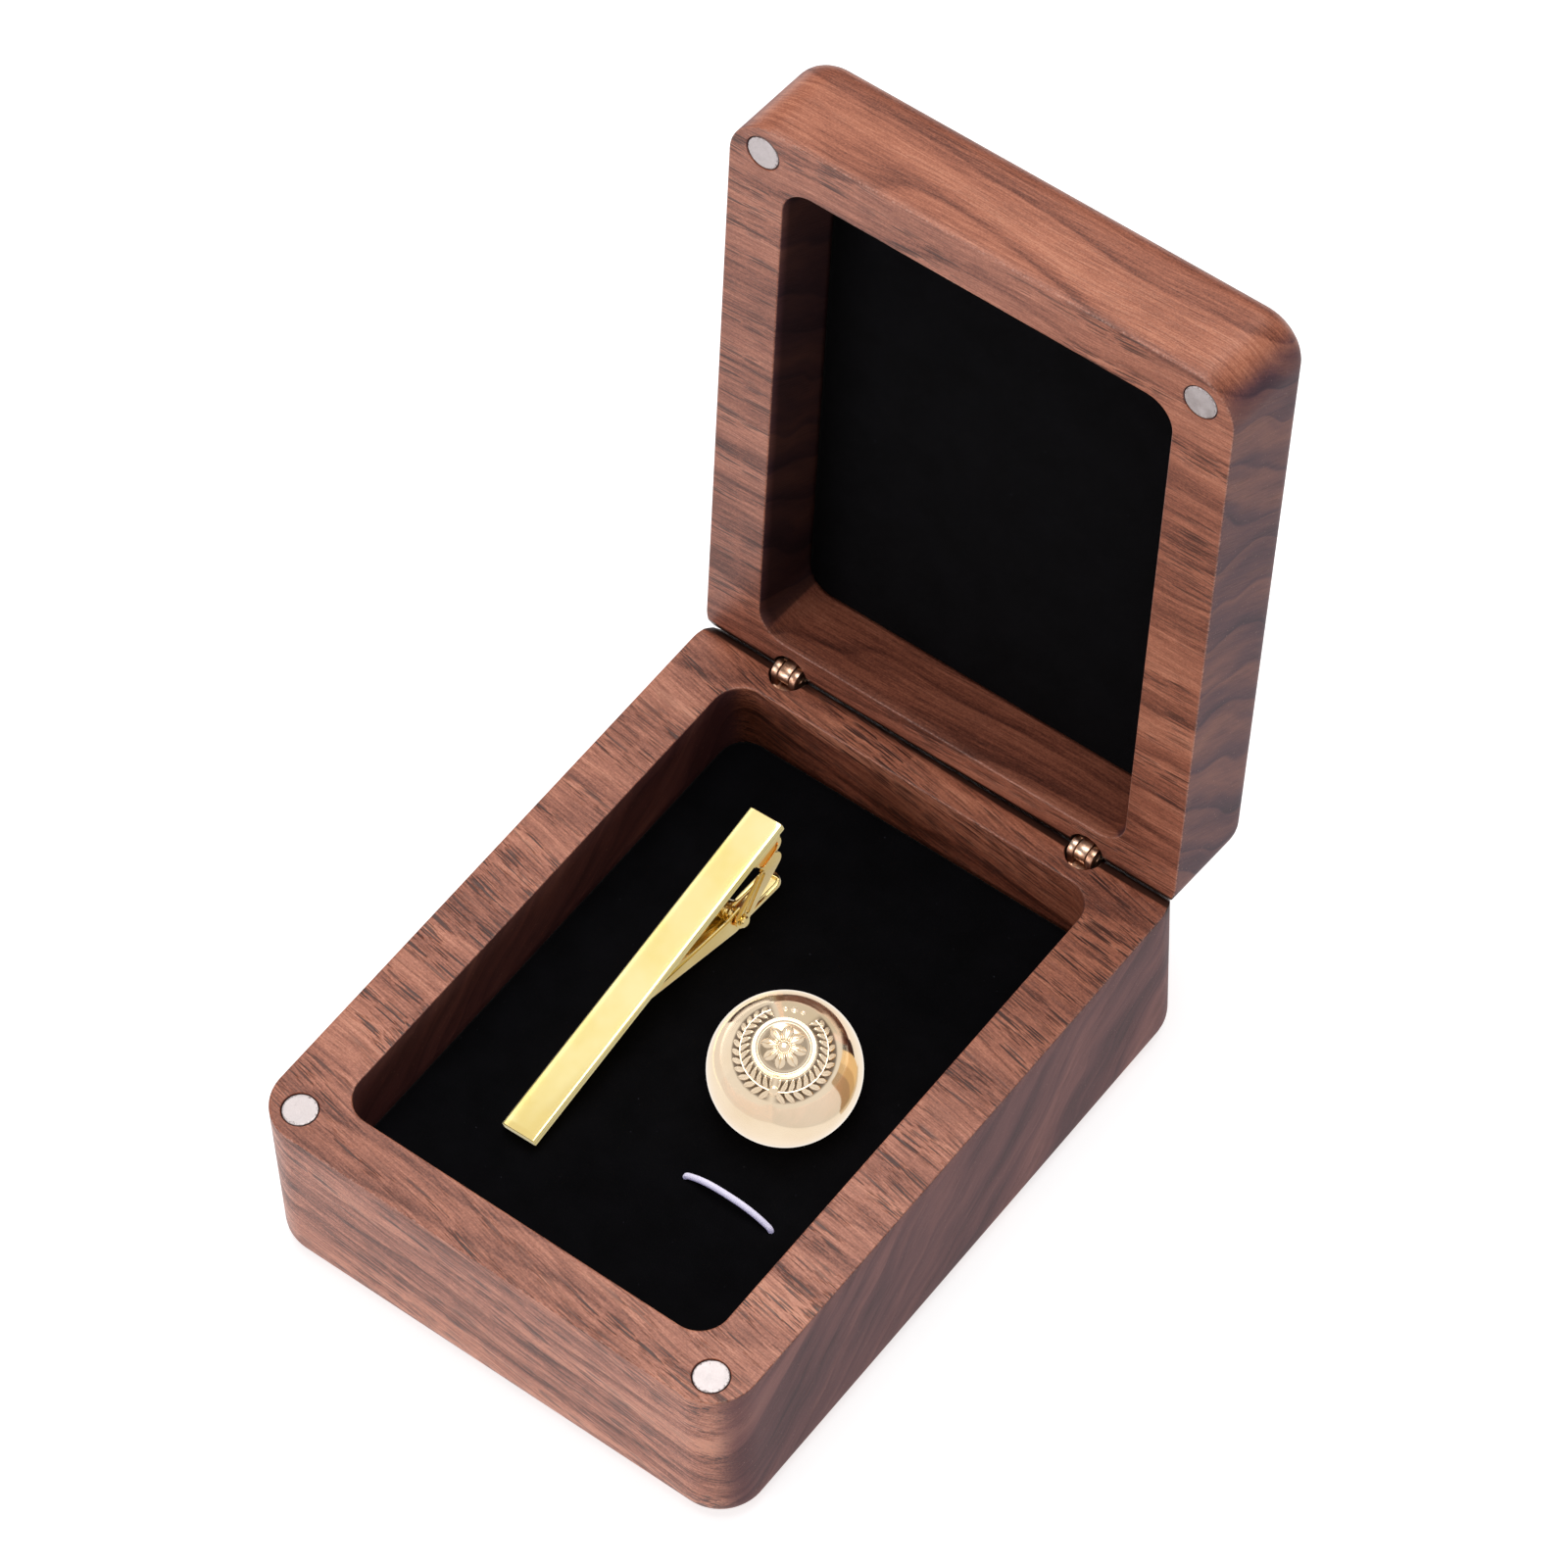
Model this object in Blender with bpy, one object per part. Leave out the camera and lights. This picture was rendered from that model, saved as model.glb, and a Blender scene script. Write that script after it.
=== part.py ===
# Walnut presentation box for cufflinks and a tie bar, with its lid open on its stop.
# Metres, +Z up, +X to the right along the hinge, +Y to the back.
# The origin is the middle of the base's underside.

import math

import bmesh
import bpy
from mathutils import Euler, Vector

for leftover in list(bpy.data.objects):
    bpy.data.objects.remove(leftover, do_unlink=True)

# Box body
box_width = 0.0800
box_depth = 0.1037
base_height = 0.0304
lid_height = 0.0173
side_wall = 0.0090
front_wall = 0.0082
rear_wall = 0.0089
floor_thickness = 0.0040
lid_top_thickness = 0.0040
corner_radius = 0.0069
edge_radius = 0.0035
cavity_radius = 0.0045
rim_edge_break = 0.0003
corner_steps = 8
edge_steps = 5

# Clearances
fit_gap = 0.0003
running_gap = 0.00008
cut_overrun = 0.0020

# Lid hinge line
hinge_rear_inset = 0.0040
rim_gap = 0.0003
lid_open_angle = math.radians(96.66)

# Barrel hinges
barrel_radius = 0.0025
barrel_length = 0.0100
hinge_side_inset = 0.0147
knuckle_radius = 0.0016
knuckle_steps = 12
knuckle_half_width = 0.0021
tongue_half_width = 0.00045
barrel_shoulder = 0.0021
hinge_pin_radius = 0.0006

# Magnets
magnet_radius = 0.0025
magnet_thickness = 0.0030
magnet_side_inset = 0.0054
magnet_front_inset = 0.0045
magnet_sink = 0.00005
round_steps = 32

# Padded lining
base_velvet_drop = 0.0115
lid_velvet_drop = 0.0104
velvet_thickness = 0.0007
velvet_hem_rise = 0.0015
velvet_roll = 0.0007
velvet_roll_steps = 3

# Elastic loop in the base pad
loop_span = 0.0144
loop_place_shares = (0.7492, 0.2754)
loop_cord_radius = 0.00065
loop_crown = 0.0019
loop_anchor_depth = 0.0030
loop_hole_slack = 0.00035
loop_squareness_share = 4.5
loop_points = 22

# Tie bar
bar_length = 0.0560
bar_width = 0.0057
bar_thickness = 0.0014
bar_edge_round = 0.00035
bar_pivot_from_rear = 0.0122
bar_pivot_depth = 0.0084
bar_yaw = math.radians(-0.66)
bar_roll = math.radians(-8.0)
bar_pivot_place_shares = (0.3144, 0.6875)
plate_thickness = 0.0005
arm_inner = 0.0020
plate_length = 0.0057
plate_rear_inset = 0.0010
arm_boss_radius = 0.0012
arm_boss_steps = 10
arm_step_shares = ((0.0, 0.80), (1.0, 0.72), (0.7, 0.60), (0.9, 0.48), (2.0, 0.36))
arm_throat_share = 0.62
bar_pin_radius = 0.00055
bar_pin_head_radius = 0.0009
bar_pin_head_thickness = 0.0003
jaw_half_width = 0.0017
jaw_depth_at_pivot = 0.0021
jaw_tail_length = 0.0092
jaw_grip_length = 0.0133
jaw_grip_start = 0.0195
jaw_grip_thickness = 0.0009
jaw_tail_steps = 6
tooth_count = 5
tooth_height = 0.0003
tooth_row_share = 0.333
spring_wire_radius = 0.00015
spring_mean_radius = 0.0011
spring_turns = 2
spring_pitch = 0.0008
spring_turn_points = 12
spring_tail_leg = 0.0018
spring_last_turn_share = 0.25
spring_knee_share = 0.72
spring_shin_share = 0.30

# Cufflink
dome_radius = 0.0106
dome_cut_share = 0.35
dome_shell = 0.0007
dome_place_shares = (0.6866, 0.4853)
dome_lean = math.radians(16.0)
dome_lean_heading = math.radians(-49.2)
back_thickness = 0.0008
post_radius = 0.0012
post_length = 0.0078
foot_length = 0.0100
foot_width = 0.0026
foot_thickness = 0.0020
foot_end_steps = 8
dome_steps = 14
dome_turn_steps = 40

# Places that follow from the sizes
half_width = box_width / 2
front_y = -box_depth / 2
rear_y = box_depth / 2
cavity_half_width = half_width - side_wall
cavity_front_y = front_y + front_wall
cavity_rear_y = rear_y - rear_wall
axis_y = rear_y - hinge_rear_inset
axis_z = base_height + rim_gap / 2
base_velvet_top = base_height - base_velvet_drop
barrel_bore_radius = barrel_radius + fit_gap
barrel_bore_depth = barrel_length + fit_gap


# A place in the tray, from its left front corner in shares of its width and depth.
def tray_place(shares):
    x = cavity_half_width * (2 * shares[0] - 1)
    y = cavity_front_y + (cavity_rear_y - cavity_front_y) * shares[1]
    return x, y


loop_centre_x, loop_centre_y = tray_place(loop_place_shares)
bar_pivot_x, bar_pivot_y = tray_place(bar_pivot_place_shares)
dome_centre_x, dome_centre_y = tray_place(dome_place_shares)


# One plain finish for each material of the box.
def make_finish(name, colour, roughness, metallic=0.0):
    finish = bpy.data.materials.new(name)
    finish.use_nodes = True
    shader = finish.node_tree.nodes["Principled BSDF"]
    shader.inputs["Base Color"].default_value = (*colour, 1.0)
    shader.inputs["Roughness"].default_value = roughness
    shader.inputs["Metallic"].default_value = metallic
    return finish


walnut = make_finish("walnut", (0.21, 0.095, 0.06), 0.55)
velvet_black = make_finish("velvet_black", (0.006, 0.006, 0.008), 0.95)
foam_grey = make_finish("foam_grey", (0.05, 0.05, 0.055), 0.9)
card_board = make_finish("card_board", (0.35, 0.31, 0.25), 0.85)
magnet_nickel = make_finish("magnet_nickel", (0.62, 0.58, 0.57), 0.32, 1.0)
hinge_brass = make_finish("hinge_brass", (0.62, 0.40, 0.20), 0.3, 1.0)
elastic_lilac = make_finish("elastic_lilac", (0.66, 0.62, 0.82), 0.8)
bar_gold = make_finish("bar_gold", (0.95, 0.80, 0.36), 0.15, 1.0)
clasp_gold = make_finish("clasp_gold", (0.86, 0.66, 0.24), 0.22, 1.0)
dome_gold = make_finish("dome_gold", (0.90, 0.74, 0.52), 0.14, 1.0)


# An empty that carries the pieces of one moving or tilted group.
def add_frame(name, location, rotation=(0.0, 0.0, 0.0)):
    frame = bpy.data.objects.new(name, None)
    bpy.context.collection.objects.link(frame)
    frame.rotation_mode = "YXZ"
    frame.location = location
    frame.rotation_euler = rotation
    return frame


# Makes an object of a bmesh, under a parent if it has one.
def add_object(name, shape, finish=None, parent=None, smooth_angle=None):
    bmesh.ops.recalc_face_normals(shape, faces=shape.faces)
    mesh = bpy.data.meshes.new(name)
    shape.to_mesh(mesh)
    shape.free()
    if smooth_angle is not None:
        mesh.shade_smooth()
        mesh.set_sharp_from_angle(angle=smooth_angle)
    piece = bpy.data.objects.new(name, mesh)
    bpy.context.collection.objects.link(piece)
    if finish is not None:
        mesh.materials.append(finish)
    piece.parent = parent
    return piece


# Marks an object as a guide that only cuts.
def as_cutter(piece):
    piece.hide_render = True
    piece.display_type = "WIRE"
    return piece


# Cuts a guide out of a piece, or joins another solid to it.
def combine(piece, guide, operation="DIFFERENCE"):
    change = piece.modifiers.new(guide.name, "BOOLEAN")
    change.operation = operation
    change.solver = "EXACT"
    change.object = guide
    return piece


# A rectangle with round corners, drawn inside its full size by an inset.
def round_rectangle(half_x, low_y, high_y, radius, inset=0.0):
    turn = math.pi / 2
    reach = radius - inset
    centres = (
        (half_x - radius, high_y - radius),
        (radius - half_x, high_y - radius),
        (radius - half_x, low_y + radius),
        (half_x - radius, low_y + radius),
    )
    points = []
    for corner, (x, y) in enumerate(centres):
        for step in range(corner_steps + 1):
            angle = turn * (corner + step / corner_steps)
            points.append((x + reach * math.cos(angle), y + reach * math.sin(angle)))
    return points


# A solid through rings of equal count, each an outline at its own height.
def stack_rings(levels):
    shape = bmesh.new()
    rings = []
    for outline, z in levels:
        rings.append([shape.verts.new((x, y, z)) for x, y in outline])
    count = len(rings[0])
    for lower, upper in zip(rings, rings[1:]):
        for index in range(count):
            after = (index + 1) % count
            shape.faces.new((lower[index], lower[after], upper[after], upper[index]))
    shape.faces.new(reversed(rings[0]))
    shape.faces.new(rings[-1])
    return shape


# A profile in the YZ plane, drawn out along X.
def extrude_along_x(profile, low_x, high_x):
    shape = bmesh.new()
    near = [shape.verts.new((low_x, y, z)) for y, z in profile]
    face = shape.faces.new(near)
    drawn = bmesh.ops.extrude_face_region(shape, geom=[face])
    moved = [item for item in drawn["geom"] if isinstance(item, bmesh.types.BMVert)]
    bmesh.ops.translate(shape, verts=moved, vec=(high_x - low_x, 0.0, 0.0))
    return shape


# A round bar along Z between two heights.
def round_bar(radius, low_z, high_z, centre=(0.0, 0.0), steps=round_steps):
    outline = []
    for step in range(steps):
        angle = 2 * math.pi * step / steps
        outline.append((centre[0] + radius * math.cos(angle), centre[1] + radius * math.sin(angle)))
    return stack_rings(((outline, low_z), (outline, high_z)))


# A round bar along X between two places, about the local origin.
def cross_bar(radius, low_x, high_x, steps=24):
    outline = []
    for step in range(steps):
        angle = 2 * math.pi * step / steps
        outline.append((radius * math.cos(angle), radius * math.sin(angle)))
    return extrude_along_x(outline, low_x, high_x)


# The outside of base or lid: a rounded block with one filleted end and a crisp rim.
# Heights run from the closed end to the rim, which may lie above or below it.
def block_levels(low_y, high_y, closed_z, rim_z):
    way = 1 if rim_z > closed_z else -1
    levels = []
    for step in range(edge_steps + 1):
        angle = math.pi / 2 * step / edge_steps
        inset = edge_radius * (1 - math.sin(angle))
        rise = edge_radius * (1 - math.cos(angle))
        outline = round_rectangle(half_width, low_y, high_y, corner_radius, inset)
        levels.append((outline, closed_z + way * rise))
    full = round_rectangle(half_width, low_y, high_y, corner_radius)
    eased = round_rectangle(half_width, low_y, high_y, corner_radius, rim_edge_break)
    levels.append((full, rim_z - way * rim_edge_break))
    levels.append((eased, rim_z))
    return levels


# The hollow of base or lid, eased at the rim and run out past it.
def cavity_levels(low_y, high_y, floor_z, rim_z):
    way = 1 if rim_z > floor_z else -1
    plain = round_rectangle(cavity_half_width, low_y, high_y, cavity_radius)
    flared = round_rectangle(cavity_half_width, low_y, high_y, cavity_radius, -rim_edge_break)
    return (
        (plain, floor_z),
        (plain, rim_z - way * rim_edge_break),
        (flared, rim_z),
        (flared, rim_z + way * cut_overrun),
    )


# The wedge that bevels a rear rim, so that base and lid meet face to face when open.
# It is drawn about the hinge line; way is -1 under the line (base) and 1 above it (lid).
def stop_wedge_profile(way):
    slope = lid_open_angle / 2
    reach = 2 * hinge_rear_inset
    drop_y = -math.sin(slope) * rim_gap / 2
    drop_z = way * math.cos(slope) * rim_gap / 2
    return (
        (drop_y, drop_z),
        (drop_y + reach * math.cos(slope), drop_z + way * reach * math.sin(slope)),
        (reach, -way * cut_overrun),
        (drop_y, -way * cut_overrun),
    )


def cut_common_pockets(piece, name, rim_z, way, shift_y, parent):
    for side, sign in (("left", -1), ("right", 1)):
        place = (sign * (half_width - magnet_side_inset), front_y + magnet_front_inset + shift_y)
        depth = magnet_thickness + magnet_sink + fit_gap
        low, high = sorted((rim_z - way * depth, rim_z + way * cut_overrun))
        pocket = round_bar(magnet_radius + fit_gap, low, high, place)
        combine(piece, as_cutter(add_object(f"cut_{name}_magnet_{side}", pocket, parent=parent)))
        place = (sign * (half_width - hinge_side_inset), axis_y + shift_y)
        low, high = sorted((rim_z - way * barrel_bore_depth, rim_z + way * cut_overrun))
        bore = round_bar(barrel_bore_radius, low, high, place)
        combine(piece, as_cutter(add_object(f"cut_{name}_hinge_{side}", bore, parent=parent)))


hinge_line = add_frame("hinge_line", (0.0, axis_y, axis_z))
lid_frame = add_frame("lid_frame", (0.0, axis_y, axis_z), (-lid_open_angle, 0.0, 0.0))


def make_base():
    base = add_object(
        "base_box",
        stack_rings(block_levels(front_y, rear_y, 0.0, base_height)),
        walnut,
        smooth_angle=math.radians(30),
    )
    hollow = stack_rings(cavity_levels(cavity_front_y, cavity_rear_y, floor_thickness, base_height))
    combine(base, as_cutter(add_object("cut_base_cavity", hollow)))
    wedge = extrude_along_x(stop_wedge_profile(-1), -box_width, box_width)
    combine(base, as_cutter(add_object("cut_base_stop", wedge, parent=hinge_line)))
    cut_common_pockets(base, "base", base_height, 1, 0.0, None)


# The lid is drawn closed, about the hinge line, and its frame swings it open.
def make_lid():
    rim_z = rim_gap / 2
    top_z = rim_z + lid_height
    low_y = front_y - axis_y
    high_y = rear_y - axis_y
    lid = add_object(
        "lid_box",
        stack_rings(block_levels(low_y, high_y, top_z, rim_z)),
        walnut,
        lid_frame,
        math.radians(30),
    )
    hollow = stack_rings(
        cavity_levels(cavity_front_y - axis_y, cavity_rear_y - axis_y, top_z - lid_top_thickness, rim_z)
    )
    combine(lid, as_cutter(add_object("cut_lid_cavity", hollow, parent=lid_frame)))
    wedge = extrude_along_x(stop_wedge_profile(1), -box_width, box_width)
    combine(lid, as_cutter(add_object("cut_lid_stop", wedge, parent=lid_frame)))
    cut_common_pockets(lid, "lid", rim_z, -1, -axis_y, lid_frame)


def make_magnets():
    for side, sign in (("left", -1), ("right", 1)):
        x = sign * (half_width - magnet_side_inset)
        y = front_y + magnet_front_inset
        top = base_height - magnet_sink
        disc = round_bar(magnet_radius, top - magnet_thickness, top, (x, y))
        add_object(f"magnet_base_{side}", disc, magnet_nickel, smooth_angle=math.radians(40))
        face = rim_gap / 2 + magnet_sink
        disc = round_bar(magnet_radius, face, face + magnet_thickness, (x, y - axis_y))
        add_object(f"magnet_lid_{side}", disc, magnet_nickel, lid_frame, math.radians(40))


# A strip with one round end about the hinge line, as ears and tongues have.
def knuckle_profile(way):
    root = way * (barrel_shoulder + cut_overrun / 4)
    profile = [(knuckle_radius, root)]
    for step in range(knuckle_steps + 1):
        angle = -way * math.pi * step / knuckle_steps
        profile.append((knuckle_radius * math.cos(angle), knuckle_radius * math.sin(angle)))
    profile.append((-knuckle_radius, root))
    return profile


# One half of a barrel hinge: a barrel in its bore with ears or a tongue at the hinge line.
# The base half has two ears (way -1), the lid half one tongue between them (way 1).
def make_hinge_half(name, way, x, frame):
    far = way * (barrel_length + rim_gap / 2)
    near = way * barrel_shoulder
    carrier = add_frame(name + "_frame", (x, 0.0, 0.0))
    carrier.parent = frame
    barrel = add_object(name, round_bar(barrel_radius, *sorted((far, near))), hinge_brass, carrier,
                        math.radians(40))
    half = tongue_half_width if way > 0 else knuckle_half_width
    knuckle = extrude_along_x(knuckle_profile(way), -half, half)
    combine(barrel, as_cutter(add_object(name + "_knuckle", knuckle, parent=carrier)), "UNION")
    if way < 0:
        slot_half = tongue_half_width + fit_gap
        slot = extrude_along_x(
            (
                (-2 * barrel_radius, near),
                (2 * barrel_radius, near),
                (2 * barrel_radius, 2 * knuckle_radius),
                (-2 * barrel_radius, 2 * knuckle_radius),
            ),
            -slot_half,
            slot_half,
        )
        combine(barrel, as_cutter(add_object(name + "_slot", slot, parent=carrier)))
    eye = cross_bar(hinge_pin_radius + running_gap, -2 * knuckle_half_width, 2 * knuckle_half_width)
    combine(barrel, as_cutter(add_object(name + "_eye", eye, parent=carrier)))
    wedge = extrude_along_x(shoulder_wedge_profile(way), -box_width, box_width)
    combine(barrel, as_cutter(add_object(name + "_bevel", wedge, parent=carrier)))


# The bevel on a barrel's rear shoulder, parallel to the stop and clear of the ears.
def shoulder_wedge_profile(way):
    slope = lid_open_angle / 2
    start_y = knuckle_radius + fit_gap / 2
    start_z = way * start_y * math.tan(slope)
    reach = 2 * barrel_radius
    return (
        (start_y, start_z + way * fit_gap),
        (start_y + reach, start_z + way * (fit_gap + reach * math.tan(slope))),
        (start_y + reach, -way * cut_overrun),
        (start_y, -way * cut_overrun),
    )


def make_hinges():
    for side, sign in (("left", -1), ("right", 1)):
        x = sign * (half_width - hinge_side_inset)
        make_hinge_half(f"hinge_{side}_base_barrel", -1, x, hinge_line)
        make_hinge_half(f"hinge_{side}_lid_barrel", 1, x, lid_frame)
        length = knuckle_half_width - fit_gap / 2
        pin = add_object(f"hinge_{side}_pin", cross_bar(hinge_pin_radius, -length, length),
                         hinge_brass, hinge_line, math.radians(40))
        pin.location.x = x


# Velvet wrapped over a pad: a top sheet with sides turned down inside the cavity.
# Heights are given at the show face, at the hem and at the inside of the top sheet.
def velvet_cover(name, low_y, high_y, face_z, hem_z, parent):
    way = 1 if face_z > hem_z else -1
    half_x = cavity_half_width - fit_gap
    radius = cavity_radius - fit_gap
    full = round_rectangle(half_x, low_y + fit_gap, high_y - fit_gap, radius)
    levels = [(full, hem_z)]
    for step in range(velvet_roll_steps + 1):
        angle = math.pi / 2 * step / velvet_roll_steps
        inset = velvet_roll * (1 - math.cos(angle))
        drop = velvet_roll * (1 - math.sin(angle))
        outline = round_rectangle(half_x, low_y + fit_gap, high_y - fit_gap, radius, inset)
        levels.append((outline, face_z - way * drop))
    cover = add_object(name, stack_rings(levels), velvet_black, parent)
    inner = round_rectangle(half_x, low_y + fit_gap, high_y - fit_gap, radius, velvet_thickness)
    hollow = stack_rings(((inner, hem_z - way * cut_overrun), (inner, face_z - way * velvet_thickness)))
    combine(cover, as_cutter(add_object("cut_" + name, hollow, parent=parent)))
    return cover


# The filling under a velvet cover, a clearance inside it all round.
def pad_core(name, low_y, high_y, face_z, bed_z, finish, parent):
    way = 1 if face_z > bed_z else -1
    inset = velvet_thickness + fit_gap
    outline = round_rectangle(cavity_half_width - fit_gap, low_y + fit_gap, high_y - fit_gap,
                              cavity_radius - fit_gap, inset)
    show = face_z - way * (velvet_thickness + fit_gap)
    return add_object(name, stack_rings(((outline, bed_z), (outline, show))), finish, parent)


# The post's slit through the base pad, in the cufflink's own leaning frame.
def slit_cutter():
    half_x = foot_width / 2 + fit_gap
    half_y = foot_length / 2 + fit_gap
    low = -post_reach() - fit_gap
    outline = ((half_x, half_y), (-half_x, half_y), (-half_x, -half_y), (half_x, -half_y))
    # the slit stops just under the dome's back
    high = -dome_cut() - back_thickness / 2
    shape = stack_rings(((outline, low), (outline, high)))
    return as_cutter(add_object("cut_pad_slit", shape, parent=cufflink_frame))


def make_linings():
    bed = floor_thickness + fit_gap
    cover = velvet_cover("base_velvet", cavity_front_y, cavity_rear_y, base_velvet_top,
                         bed + velvet_hem_rise, None)
    core = pad_core("base_pad_foam", cavity_front_y, cavity_rear_y, base_velvet_top, bed,
                    foam_grey, None)
    slit = slit_cutter()
    for side, sign in (("left", -1), ("right", 1)):
        hole = round_bar(
            loop_cord_radius + loop_hole_slack,
            base_velvet_top - loop_anchor_depth - fit_gap,
            base_velvet_top + cut_overrun,
            (loop_centre_x + sign * loop_span / 2, loop_centre_y),
            16,
        )
        guide = as_cutter(add_object(f"cut_loop_{side}", hole))
        combine(cover, guide)
        combine(core, guide)
    combine(cover, slit)
    combine(core, slit)
    show = rim_gap / 2 + lid_velvet_drop
    bed = rim_gap / 2 + lid_height - lid_top_thickness - fit_gap
    velvet_cover("lid_velvet", cavity_front_y - axis_y, cavity_rear_y - axis_y, show, bed, lid_frame)
    pad_core("lid_pad_board", cavity_front_y - axis_y, cavity_rear_y - axis_y, show, bed,
             card_board, lid_frame)


# The loop is the upper half of a squared oval, its two ends sunk in the pad.
def make_elastic_loop():
    rise = loop_anchor_depth + loop_crown
    power = 2 / loop_squareness_share
    curve = bpy.data.curves.new("elastic_loop", "CURVE")
    curve.dimensions = "3D"
    curve.bevel_depth = loop_cord_radius
    curve.bevel_resolution = 2
    curve.use_fill_caps = True
    spline = curve.splines.new("POLY")
    spline.points.add(loop_points - 1)
    for index, point in enumerate(spline.points):
        angle = math.pi * index / (loop_points - 1)
        across = math.copysign(abs(math.cos(angle)) ** power, math.cos(angle))
        up = abs(math.sin(angle)) ** power
        x = loop_centre_x - across * loop_span / 2
        z = base_velvet_top - loop_anchor_depth + rise * up
        point.co = (x, loop_centre_y, z, 1.0)
    loop = bpy.data.objects.new("elastic_loop", curve)
    bpy.context.collection.objects.link(loop)
    curve.materials.append(elastic_lilac)


# Tie bar. Its local frame has X across, Y to its rear end and Z out of its show face,
# with the origin on the clasp's pivot.
bar_top = bar_pivot_depth
bar_under = bar_top - bar_thickness
bar_rear = bar_pivot_from_rear
bar_front = bar_rear - bar_length
plate_top = bar_under - fit_gap
plate_under = plate_top - plate_thickness
arm_outer = arm_inner + plate_thickness


# The clasp's lever from the side: a toothed grip under the bar, a slope down to the
# pivot, and a finger tail with a round end.
def jaw_profile():
    grip_top = bar_under - fit_gap
    grip_under = grip_top - jaw_grip_thickness
    grip_end = -jaw_grip_start - jaw_grip_length
    tooth = jaw_grip_length * tooth_row_share / tooth_count
    profile = [(grip_end, grip_under)]
    for index in range(tooth_count):
        y = grip_end + index * tooth
        profile.append((y, grip_top))
        profile.append((y + tooth / 2, grip_top - tooth_height))
    profile.append((grip_end + tooth_count * tooth, grip_top))
    profile.append((-jaw_grip_start - jaw_grip_thickness, grip_top))
    profile.append((-jaw_grip_start + jaw_grip_thickness, grip_top - jaw_grip_thickness / 2))
    profile.append((-arm_boss_radius, arm_boss_radius))
    profile.append((arm_boss_radius, arm_boss_radius))
    tail_round = arm_boss_radius / 2
    tail_under = -jaw_depth_at_pivot - fit_gap
    tail_centre = (jaw_tail_length - tail_round, tail_under + tail_round)
    for step in range(jaw_tail_steps + 1):
        angle = math.pi / 2 - math.pi * step / jaw_tail_steps
        profile.append((tail_centre[0] + tail_round * math.cos(angle),
                        tail_centre[1] + tail_round * math.sin(angle)))
    profile.append((arm_boss_radius, -jaw_depth_at_pivot))
    profile.append((-arm_boss_radius, -jaw_depth_at_pivot))
    profile.append((-jaw_grip_start, grip_under))
    return profile


# The trough inside the lever, one sheet thickness above its floor.
def jaw_trough_profile():
    sheet = plate_thickness
    grip_under = bar_under - fit_gap - jaw_grip_thickness
    return (
        (-jaw_grip_start + sheet, grip_under + sheet),
        (-arm_boss_radius, sheet - jaw_depth_at_pivot),
        (arm_boss_radius, sheet - jaw_depth_at_pivot),
        (jaw_tail_length - 2 * sheet, sheet - jaw_depth_at_pivot - fit_gap),
        (jaw_tail_length - 2 * sheet, bar_top),
        (-jaw_grip_start + sheet, bar_top),
    )


# A side arm of the bracket: a stepped leg under the bar's rear end and a strut that
# runs forward and down to a round boss on the pivot.
def arm_profile():
    rear = bar_rear - plate_rear_inset
    front = rear - plate_length
    profile = [(front, plate_top), (rear, plate_top)]
    for inset_share, drop_share in arm_step_shares:
        profile.append((rear - plate_rear_inset * inset_share, plate_top * drop_share))
    lean = math.atan2(profile[-1][1], profile[-1][0])
    for step in range(arm_boss_steps + 1):
        angle = lean - math.pi / 2 - math.pi * step / arm_boss_steps
        profile.append((arm_boss_radius * math.cos(angle), arm_boss_radius * math.sin(angle)))
    profile.append((front + plate_rear_inset, plate_top * arm_throat_share))
    return profile


# How high a point of the tie bar's frame lies over its pivot at a given tilt.
def height_over_pivot(place, tilt):
    turn = Euler((tilt, bar_roll, bar_yaw), "YXZ").to_matrix()
    return (turn @ Vector(place)).z


# How far the lever's lowest corner hangs below the pivot at a given tilt.
def lever_drop(tilt):
    corners = [(x, y, z) for y, z in jaw_profile() for x in (-jaw_half_width, jaw_half_width)]
    return -min(height_over_pivot(corner, tilt) for corner in corners)


# The tilt that lays the lever and the lower front corner of the bar on the pad together,
# found by halving between a level bar and one that dips steeply.
def resting_tilt():
    corner = (-bar_width / 2, bar_front, bar_under)
    level = 0.0
    steep = math.pi / 4
    for _ in range(40):
        middle = (level + steep) / 2
        if height_over_pivot(corner, middle) + lever_drop(middle) > 0:
            level = middle
        else:
            steep = middle
    return level


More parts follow.
